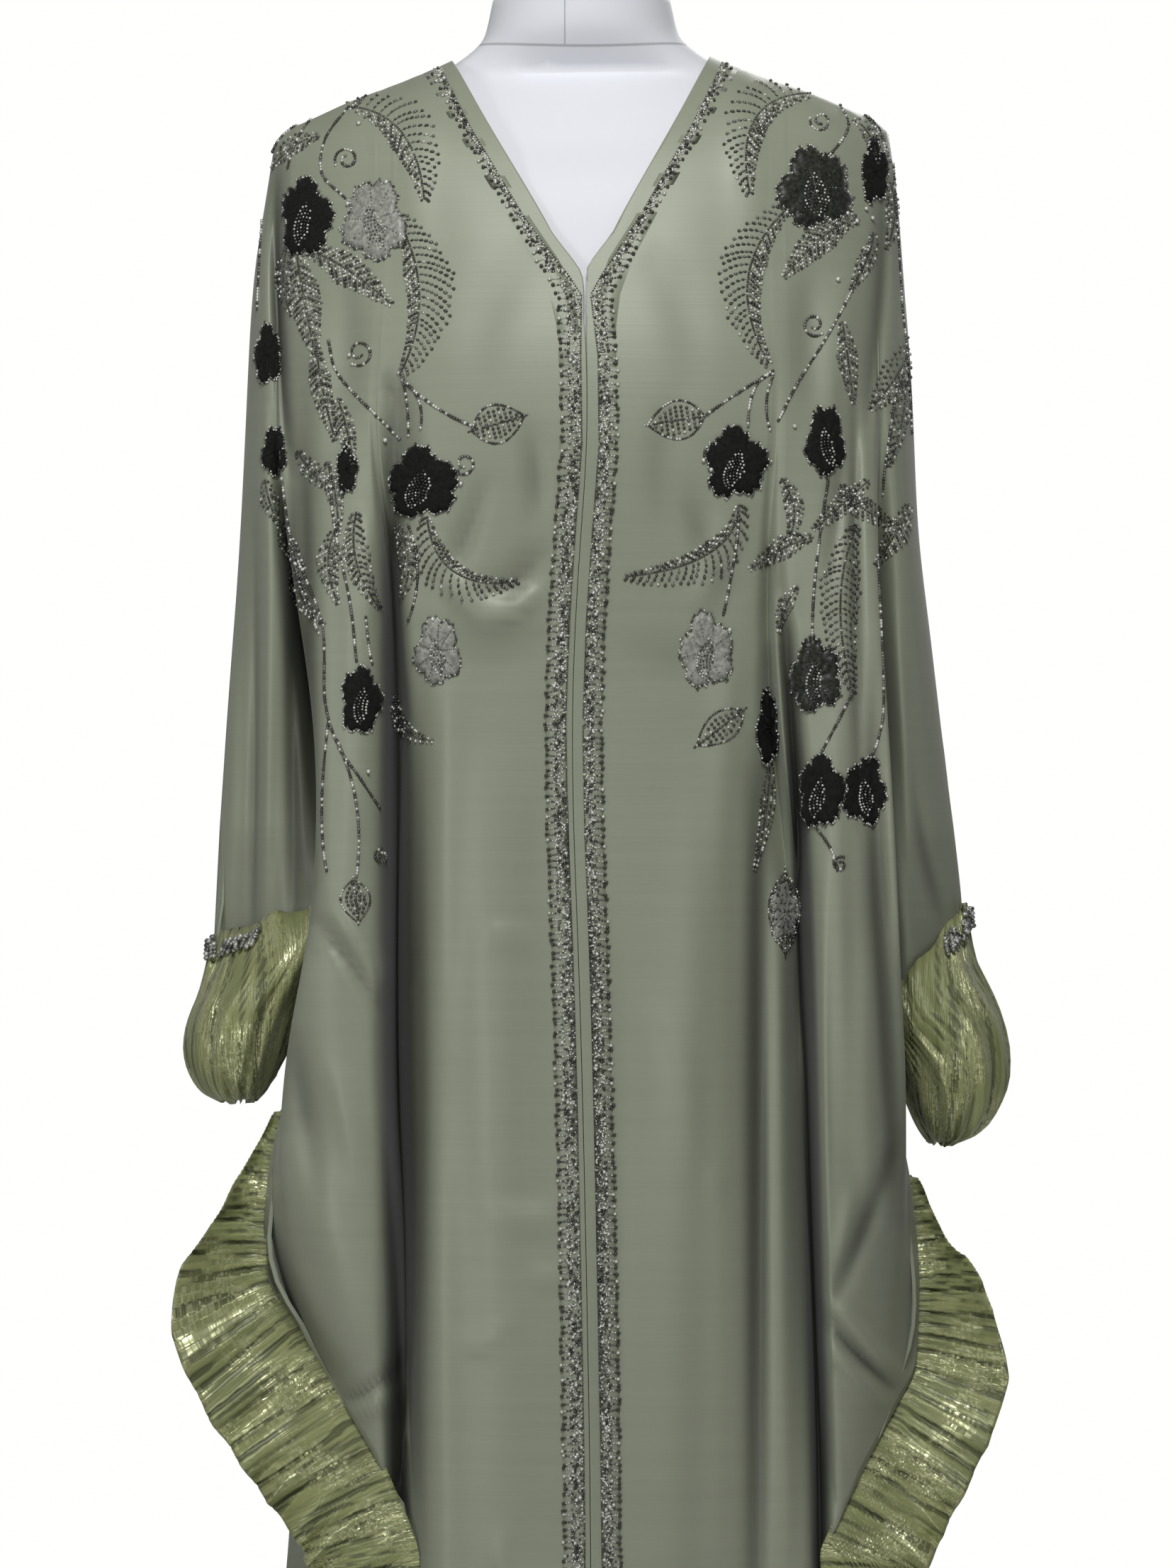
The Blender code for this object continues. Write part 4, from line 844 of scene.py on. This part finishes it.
def dotted_leaf(work, row):
    """A pointed leaf outlined in beads and filled with rows of dots."""
    start, end = np.array((row.x1, row.z1), float), np.array((row.x2, row.z2), float)
    along = end - start
    side = np.array((-along[1], along[0])) / np.linalg.norm(along)
    for turn in (-1, 1):
        middle = start + along * 0.45 + side * row.half * turn * 1.05
        stem(work, (start, middle, end), 0.95)
    for k in range(1, int(LEAF_ROWS)):
        t = k / LEAF_ROWS
        half = row.half * 0.95 * (1 - abs(2 * t - 0.92) ** 1.8)
        for u in np.arange(-half, half + 0.1, LEAF_PITCH):
            if abs(u) < half - 0.8:
                work.add(*(start + along * t + side * u), 1.3, sparkle(0.18))
    stem(work, (start - along * 0.06, start + along * 0.5, end + along * 0.05), 0.8)


def petal_place(row, angle, share):
    """A place in a flower, at a share of its ragged, lobed outline."""
    turn = row.turn
    reach = share * (
        0.68 + 0.22 * abs(cos(2.5 * (angle - turn))) ** 0.8 + 0.06 * cos(3 * angle + 2 * turn)
        + 0.10 * abs(sin(8.5 * angle + 5 * turn)) ** 0.7 + 0.02 * sin(23 * angle))
    return (row.x + row.half_width * reach * cos(angle),
            row.z + row.half_height * reach * sin(angle))


def bloom_mesh(row, cloth):
    """A thin lobed patch that lies on the cloth."""
    lift = RAISED if row.node else FLAT
    top, base = [], []
    for ring in range(PETAL_RINGS + 1):
        rim = ring == PETAL_RINGS
        for k in range(PETAL_SIDES):
            angle = 2 * pi * k / PETAL_SIDES
            ruck = 0.35 * sin(5 * angle + 3 * ring) + 0.25 * sin(9 * angle - ring)
            hit, normal = drop(cloth, *petal_place(row, angle, ring / PETAL_RINGS))
            if hit is None:
                raise RuntimeError(f"The flower at {row.x}, {row.z} misses the cloth")
            top.append(hit + normal * (lift * 0.45 if rim else lift + ruck) * MM)
            base.append(hit + normal * PETAL_FOOT * MM)
    faces = []
    for ring in range(PETAL_RINGS + 1):
        for k in range(PETAL_SIDES):
            a, b = ring * PETAL_SIDES + k, ring * PETAL_SIDES + (k + 1) % PETAL_SIDES
            faces.append((a, a + PETAL_SIDES, b + PETAL_SIDES, b))
    return array_mesh("flower", top + base[-PETAL_SIDES:], np.array(faces))


def bloom_beads(work, row):
    """The flower's beaded rim, its pistil and its veins."""
    count = int(1.25 * (row.half_width + row.half_height) * 2)
    for k in range(count):
        spot = petal_place(row, 2 * pi * k / count, between(0.97, 1.06))
        work.add(*spot, 0.95, sparkle(0.4), 0.5)
    lift = RAISED if row.node else FLAT
    if row.half_width > PISTIL_FROM:
        lean = 0.35 * sin(5 * row.turn)
        for t in np.linspace(0, 1, 13):
            half = row.half_width * 0.30 * sin(pi * t) ** 0.7
            middle = row.x + row.half_width * lean * (0.3 - t)
            height = row.z + row.half_height * (0.34 - 1.0 * t)
            for u in np.arange(-half, half + 0.1, PISTIL_PITCH):
                size, bright = (1.05, 0.6) if abs(u) > half - PISTIL_PITCH else (0.85, 0.3)
                work.add(middle + u, height - 0.25 * abs(u), size, sparkle(bright), lift)
    if row.cloth != "velvet":
        for k in range(9):
            for u in np.linspace(0.35, 0.85, 6):
                spot = petal_place(row, 2 * pi * k / 9 + row.turn, u)
                work.add(*spot, 0.55, sparkle(0.1), lift)


# Pieces


class ABAYA_OT_satin(bpy.types.Operator):
    """Builds both fronts and the back as thin creased shells"""

    bl_idname = "abaya.satin"
    bl_label = "Satin panels"

    def execute(self, context):
        finish = finish_for("Sage satin", satin_material)
        for name in ("front_left", "front_right", "back"):
            mesh = smooth_shell(name, 2 if name == "back" else 3)
            points = read_points(mesh)
            if name == "back":
                fold = press_creases(points, BACK_CREASES, -1)
                join_seams(points, surface_of(*FRONTS))
            else:
                turn = press_creases(points, WING_TURNS, 1)
                # A fifth of the wings' turn adds painted shade on their outer parts
                fold = press_creases(points, FRONT_CREASES, 1) + 0.2 * turn
                close_neck(points, name.split("_")[1])
            add_cloth("satin", name, mesh, points, finish, fold=fold)
        return {"FINISHED"}


class ABAYA_OT_organza(bpy.types.Operator):
    """Builds the balloon cuffs and the wing ruffles with their fine gathers"""

    bl_idname = "abaya.organza"
    bl_label = "Organza cuffs and ruffles"

    def execute(self, context):
        finish = finish_for("Olive organza", organza_material)
        for side in ("left", "right"):
            self.cuff(side, finish)
            self.ruffle(side, finish)
        return {"FINISHED"}

    def cuff(self, side, finish):
        name = "balloon_cuff_" + side
        mesh = smooth_shell(name, 2)
        points = read_points(mesh)
        low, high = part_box(name)
        centre = np.array(((low.x + high.x) / 2, (low.y + high.y) / 2))
        flat = points[:, :2] - centre
        angle = np.arctan2(flat[:, 1], flat[:, 0])
        down = (high.z - points[:, 2]) / (high.z - low.z)
        turns = (CUFF_GATHERS * angle / (2 * pi) + 0.5 * np.sin(3 * angle)
                 + 0.25 * np.sin(4 * down + 2 * angle))
        depth = pleats(turns, CUFF_PLEAT) + 0.5 * pleats(1.7 * turns + 0.3, 1.2)
        away = flat / np.linalg.norm(flat, axis=1)[:, None]
        points[:, :2] += away * (depth * MM * np.clip((down - 0.07) * 7, 0, 1))[:, None]
        tuck = np.clip(1 - (self.top(side, points) - points[:, 2]) / CUFF_FADE, 0, 1)
        points[:, 2] += CUFF_TUCK * MM * tuck
        points[:, 1] += CUFF_THINNED * MM * tuck * np.sign(centre[1] - points[:, 1])
        self.draw_in(mesh, points, tuck, points[:, 1] < centre[1], self.top(side, points))
        # The stored pleat depth sets the organza's painted shade in the troughs
        add_cloth("organza", name, mesh, points, finish, gather=angle * 0.05, reach=down * 0.12,
                  crest=depth / CUFF_PLEAT)

    def top(self, side, points):
        """Height of the sleeve's end over each point, along its slanting line."""
        across, height = np.transpose(SLEEVE_END[side])
        return np.interp(points[:, 0] / MM, across, height) * MM

    def draw_in(self, mesh, points, tuck, front, hem):
        """Moves the front of the cuff's top back, behind the sleeve's front."""
        cloth = surface_of(*FRONTS)
        for k in np.flatnonzero((tuck > 0) & front):
            height = max(points[k, 2], hem[k] + CUFF_ABOVE * MM)
            hit = cloth.ray_cast(Vector((points[k, 0], -1, height)), Vector((0, 1, 0)))[0]
            if hit:
                inner = mesh.vertices[k].normal.y >= 0
                behind = hit.y + (CUFF_BEHIND + CUFF_WALL * inner) * MM
                points[k, 1] += tuck[k] * np.clip(behind - points[k, 1], 0, CUFF_SHIFT * MM)

    def ruffle(self, side, finish):
        name = "wing_ruffle_" + side
        mesh = smooth_shell(name, 3)
        points = read_points(mesh)
        line = curve_points(WING_EDGE[side], EDGE_STEPS) * MM
        lengths = lengths_along(line)
        flat = points[:, (0, 2)]
        gather, reach, root = [], [], []
        for part in np.array_split(flat, len(flat) // 4000 + 1):
            away = np.linalg.norm(part[:, None] - line[None], axis=2)
            nearest = np.argsort(away, axis=1)[:, :6]
            weight = 1 / (np.take_along_axis(away, nearest, 1) + 1e-4) ** 2
            gather.append((lengths[nearest] * weight).sum(1) / weight.sum(1))
            reach.append(away.min(1))
            root.append(line[away.argmin(1)])
        gather, reach, root = map(np.concatenate, (gather, reach, root))
        above = (points[:, 2] / MM - RUFFLE_NARROWS[side]) / NARROW_RUN
        narrow = NARROW_SHARE * np.clip(above, 0, 1.2)
        points[:, (0, 2)] += (root - flat) * narrow[:, None]
        turns = (gather / RUFFLE_PITCH + 0.5 * np.sin(gather * 75)
                 + 11 * reach * np.sin(gather * 21 + 1) + 70 * reach**2)
        depth = pleats(turns, RUFFLE_PLEAT) + 0.5 * pleats(2.1 * turns + 0.2 + 5 * reach, 1.3)
        press_creases(points, WING_TURNS, 1)
        points[:, 1] -= depth * MM * np.clip(reach / 0.010, 0.25, 1)
        root_share = np.clip(1 - reach / RUFFLE_ROOT, 0, 1)
        points[:, 0] -= OUTWARD[side] * RUFFLE_HIDDEN * MM * root_share
        # The stored pleat depth sets the organza's painted shade in the troughs
        add_cloth("organza", name, mesh, points, finish, gather=gather, reach=reach,
                  crest=depth / RUFFLE_PLEAT)


class ABAYA_OT_bands(bpy.types.Operator):
    """Builds the beaded bands beside the opening and round the sleeves' ends"""

    bl_idname = "abaya.bands"
    bl_label = "Beaded bands"

    def execute(self, context):
        beads = finish_for("Silver beads", bead_material)
        ground = finish_for("Sage satin", satin_material)
        for side in ("left", "right"):
            self.front_band(side, beads, ground)
            self.wrist_band(side, beads)
        return {"FINISHED"}

    def front_band(self, side, beads, ground):
        name = "bead_band_" + side
        self.ground_strip(name, side, ground)
        edges = self.edges(close_neck(read_points(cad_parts[name].data), side) / MM)
        outward = OUTWARD[side]
        work = Beadwork()
        for z in np.arange(*BAND_ROWS):
            inner, outer = self.span(edges, z, outward)
            near_neck = np.clip((z - NECK_BAND) / NECK_FADE, 0, 1)
            plain = 0.34 * near_neck
            first, last = plain + 0.04, plain + 0.60 * (1 - 0.42 * near_neck)
            width = outer - inner
            self.lay(work, inner + width * first, z, 0.72, sparkle(0.12))
            for _ in range(BAND_FILL):
                self.lay(work, inner + width * between(first + 0.03, last),
                         z + between(-0.8, 0.8), between(0.8, 1.15), sparkle(0.58))
            if CHANCE.random() < LARGE_DARK:
                self.lay(work, inner + width * between(first + 0.05, last), z,
                         between(1.25, 1.45), 0.0, 0.7)
            if CHANCE.random() < LARGE_BRIGHT:
                self.lay(work, inner + width * between(first + 0.08, last + 0.1), z,
                         between(1.4, 1.75), 1.0, 0.7)
        for z in np.arange(*TUFT_ROWS):
            inner, outer = self.span(edges, z, outward)
            near_neck = float(np.clip((z - NECK_BAND) / NECK_FADE, 0, 1))
            root = inner + (outer - inner) * (0.60 + 0.10 * near_neck)
            tilt = between(-0.5, 0.35)
            reach = (5.2 - 2.4 * near_neck) * between(0.75, 1.05)
            for b in range(TUFT_BEADS):
                self.lay(work, root + outward * reach * b / TUFT_BEADS, z + tilt * b, 0.85,
                         sparkle(0.5))
            self.lay(work, root + outward * reach, z + tilt * TUFT_BEADS, between(1.35, 1.6),
                     float(CHANCE.choice((0.0, 0.95), p=(0.8, 0.2))), 0.4)
        both = surface_of("ground_" + name, *FRONTS)
        add_piece("beads_" + name, work.mesh(name, both), beads)

    def ground_strip(self, name, side, ground):
        """The band's own strip, laid on the cloth with its hidden face just below."""
        cloth = surface_of(*FRONTS)
        mesh = smooth_shell(name, 1)
        facing = np.array([v.normal.y < 0 for v in mesh.vertices])
        points = close_neck(read_points(mesh), side)
        for k, point in enumerate(points):
            spot, normal, _, _ = cloth.find_nearest(Vector(point))
            normal = normal if normal.y < 0 else -normal
            points[k] = spot + normal * (STRIP_TOP if facing[k] else -STRIP_UNDER) * MM
        write_points(mesh, points)
        add_piece("ground_" + name, mesh, ground, [name])

    def edges(self, points):
        """Height and distance across of the band's own corners, for its two long edges."""
        points = points[np.argsort(points[:, 2])]
        breaks = np.flatnonzero(np.diff(points[:, 2]) > CORNER_GAP) + 1
        low, high = [], []
        for row in np.split(points, breaks):
            middle = (row[:, 0].min() + row[:, 0].max()) / 2
            for edge, part in ((low, row[row[:, 0] < middle]), (high, row[row[:, 0] > middle])):
                edge.append((part[:, 2].mean(), part[:, 0].mean()))
        return np.array(low), np.array(high)

    def span(self, edges, z, outward):
        """The band's inner and outer edge at a height."""
        low, high = (float(np.interp(z, edge[:, 0], edge[:, 1])) for edge in edges)
        return (low, high) if outward > 0 else (high, low)

    def lay(self, work, x, z, size, tone, lift=0.0):
        """A place on the band, moved to where the viewer sees it on the front plane."""
        view_x, view_z = VIEW_POINT.x / MM, VIEW_POINT.z / MM
        scale = VIEW_AWAY / (VIEW_AWAY - BAND_AHEAD)
        work.add(view_x + (x - view_x) * scale, view_z + (z - view_z) * scale, size, tone, lift)

    def wrist_band(self, side, beads):
        name = "wrist_band_" + side
        body = merged_solid(name)
        bmesh.ops.subdivide_edges(body, edges=body.edges, cuts=WRIST_CUTS,
                                   use_grid_fill=True)
        body.normal_update()
        centres = [v.co + v.normal * WRIST_OUT * MM for v in body.verts]
        body.free()
        cloth = surface_of("organza_balloon_cuff_" + side, "satin_front_" + side, "satin_back")
        for k, centre in enumerate(centres):
            spot, _, _, gap = cloth.find_nearest(centre)
            if gap > WRIST_LIFT * MM:
                centres[k] = spot + (centre - spot) * (WRIST_LIFT * MM / gap)
        sizes = between(1.0, 1.5, len(centres)) * WRIST_BEAD * MM
        tones = np.clip(CHANCE.normal(0.5, 0.3, len(centres)), 0, 1)
        mesh = bead_mesh(name, np.array(centres), BALL[None] * sizes[:, None, None], tones)
        add_piece("beads_" + name, mesh, beads, [name])


class ABAYA_OT_applique(bpy.types.Operator):
    """Builds the raised and the flat applique flowers"""

    bl_idname = "abaya.applique"
    bl_label = "Applique flowers"

    def execute(self, context):
        cloth = surface_of(*FRONTS)
        naps = {
            "velvet": ("Black velvet", context.scene.abaya_cloth.velvet, 0.92, 0.5, 0.02),
            "grey": ("Grey satin applique", (0.275, 0.285, 0.250), 0.34, 0.30, 0.25),
            "dark": ("Dark satin applique", (0.022, 0.024, 0.018), 0.38, 0.6, 0.2),
        }
        for index, row in enumerate(BLOOMS):
            nap = naps[row.cloth]
            finish = finish_for(nap[0], nap_material, *nap)
            name = "bloom_" + (row.node or f"flat_{index}")
            add_piece(name, bloom_mesh(row, cloth), finish,
                      [row.node] if row.node else ())
        return {"FINISHED"}


class ABAYA_OT_embroidery(bpy.types.Operator):
    """Sews the stems, ferns, leaves and curls in beads"""

    bl_idname = "abaya.embroidery"
    bl_label = "Bead embroidery"

    def execute(self, context):
        work = Beadwork()
        for sew, rows in ((stem, STEMS), (curl, CURLS), (fern, FERNS), (dotted_leaf, DOTTED),
                          (bloom_beads, BLOOMS)):
            for row in rows:
                sew(work, row)
        for x, z in SPARKS:
            work.add(x, z, between(1.6, 2.1), 1.0, 0.6)
        mesh = work.mesh("embroidery", surface_of(*FRONTS))
        add_piece("bead_embroidery", mesh, finish_for("Silver beads", bead_material))
        return {"FINISHED"}


class ABAYA_OT_form(bpy.types.Operator):
    """Covers the dress form and finishes its pole and base"""

    bl_idname = "abaya.form"
    bl_label = "Dress form"

    def execute(self, context):
        cover = finish_for("White form cover", cover_material)
        for name in ("form_torso", "form_neck_cap"):
            add_piece("cover_" + name, smooth_shell(name, 2), cover, [name])
        steel = finish_for("Satin steel", steel_material)
        for name in ("form_pole", "form_base"):
            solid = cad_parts[name]
            solid.data.materials.clear()
            solid.data.materials.append(steel)
        return {"FINISHED"}


class ABAYA_OT_studio(bpy.types.Operator):
    """Lays the floor and sets the lights and the camera"""

    bl_idname = "abaya.studio"
    bl_label = "Studio"

    def execute(self, context):
        scene = context.scene
        self.floor()
        world = bpy.data.worlds.new("Studio")
        world.use_nodes = True
        tree = world.node_tree
        seen = node(tree, "LightPath").outputs["Is Camera Ray"]
        backdrop = tree.nodes["Background"]
        backdrop.inputs["Color"].default_value = (1.0, 1.0, 0.99, 1)
        feed(tree, backdrop, Strength=calc(tree, "MULTIPLY_ADD", seen, 1.0 - BACKDROP_LIGHT,
                                           BACKDROP_LIGHT))
        scene.world = world
        scene.view_settings.view_transform = "Standard"
        for name, place, target, size in LAMPS:
            self.light(name, place, target, size, getattr(scene.abaya_studio, name))
        camera = bpy.data.cameras.new("camera")
        camera.sensor_fit = "VERTICAL"
        camera.sensor_height = SENSOR_HEIGHT
        camera.lens = LENS
        seat = put("camera", camera)
        seat.location = VIEW_POINT
        seat.rotation_euler = (pi / 2, 0, 0)
        scene.camera = seat
        return {"FINISHED"}

    def floor(self):
        made, tree, shader = new_material("Pale floor", Roughness=0.7)
        grain = noise(tree, own_place(tree), 3.0)
        feed(tree, shader, Base_Color=ramp(tree, grain, (0.0, 0.84), (1.0, 0.88)))
        corners = [(x * FLOOR_HALF, y * FLOOR_HALF, 0)
                   for x, y in ((-1, -1), (1, -1), (1, 1), (-1, 1))]
        mesh = array_mesh("floor", corners, np.array(((0, 1, 2, 3),)))
        mesh.materials.append(made)
        floor = put("floor", mesh)

    def light(self, name, place, target, size, power):
        lamp = bpy.data.lights.new(name, "AREA")
        lamp.size = size
        lamp.energy = power
        seat = put(name, lamp)
        seat.location = place
        aim = Vector(target) - Vector(place)
        seat.rotation_euler = aim.to_track_quat("-Z", "Y").to_euler()


class ABAYA_PT_panel(bpy.types.Panel):
    """Lists the abaya's pieces in the sidebar"""

    bl_idname = "ABAYA_PT_panel"
    bl_label = "Butterfly abaya"
    bl_space_type = "VIEW_3D"
    bl_region_type = "UI"
    bl_category = "Abaya"

    def draw(self, context):
        for item in OPERATORS:
            self.layout.operator(item.bl_idname)
        for name, _ in SETTINGS:
            box = self.layout.box()
            settings = getattr(context.scene, name)
            for key in settings.bl_rna.properties.keys():
                if key not in ("rna_type", "name"):
                    box.prop(settings, key)


SETTINGS = (("abaya_cloth", AbayaCloth), ("abaya_beads", AbayaBeads),
            ("abaya_studio", AbayaStudio))
OPERATORS = (ABAYA_OT_satin, ABAYA_OT_organza, ABAYA_OT_bands, ABAYA_OT_applique,
             ABAYA_OT_embroidery, ABAYA_OT_form, ABAYA_OT_studio)


def register():
    for name, settings in SETTINGS:
        bpy.utils.register_class(settings)
        setattr(bpy.types.Scene, name, bpy.props.PointerProperty(type=settings))
    for item in (*OPERATORS, ABAYA_PT_panel):
        bpy.utils.register_class(item)


def unregister():
    for item in (ABAYA_PT_panel, *reversed(OPERATORS)):
        bpy.utils.unregister_class(item)
    for name, settings in reversed(SETTINGS):
        delattr(bpy.types.Scene, name)
        bpy.utils.unregister_class(settings)


def main():
    register()
    bpy.ops.abaya.satin()
    bpy.ops.abaya.organza()
    bpy.ops.abaya.bands()
    bpy.ops.abaya.applique()
    bpy.ops.abaya.embroidery()
    bpy.ops.abaya.form()
    bpy.ops.abaya.studio()
    bpy.context.view_layer.update()


if __name__ == "__main__":
    main()
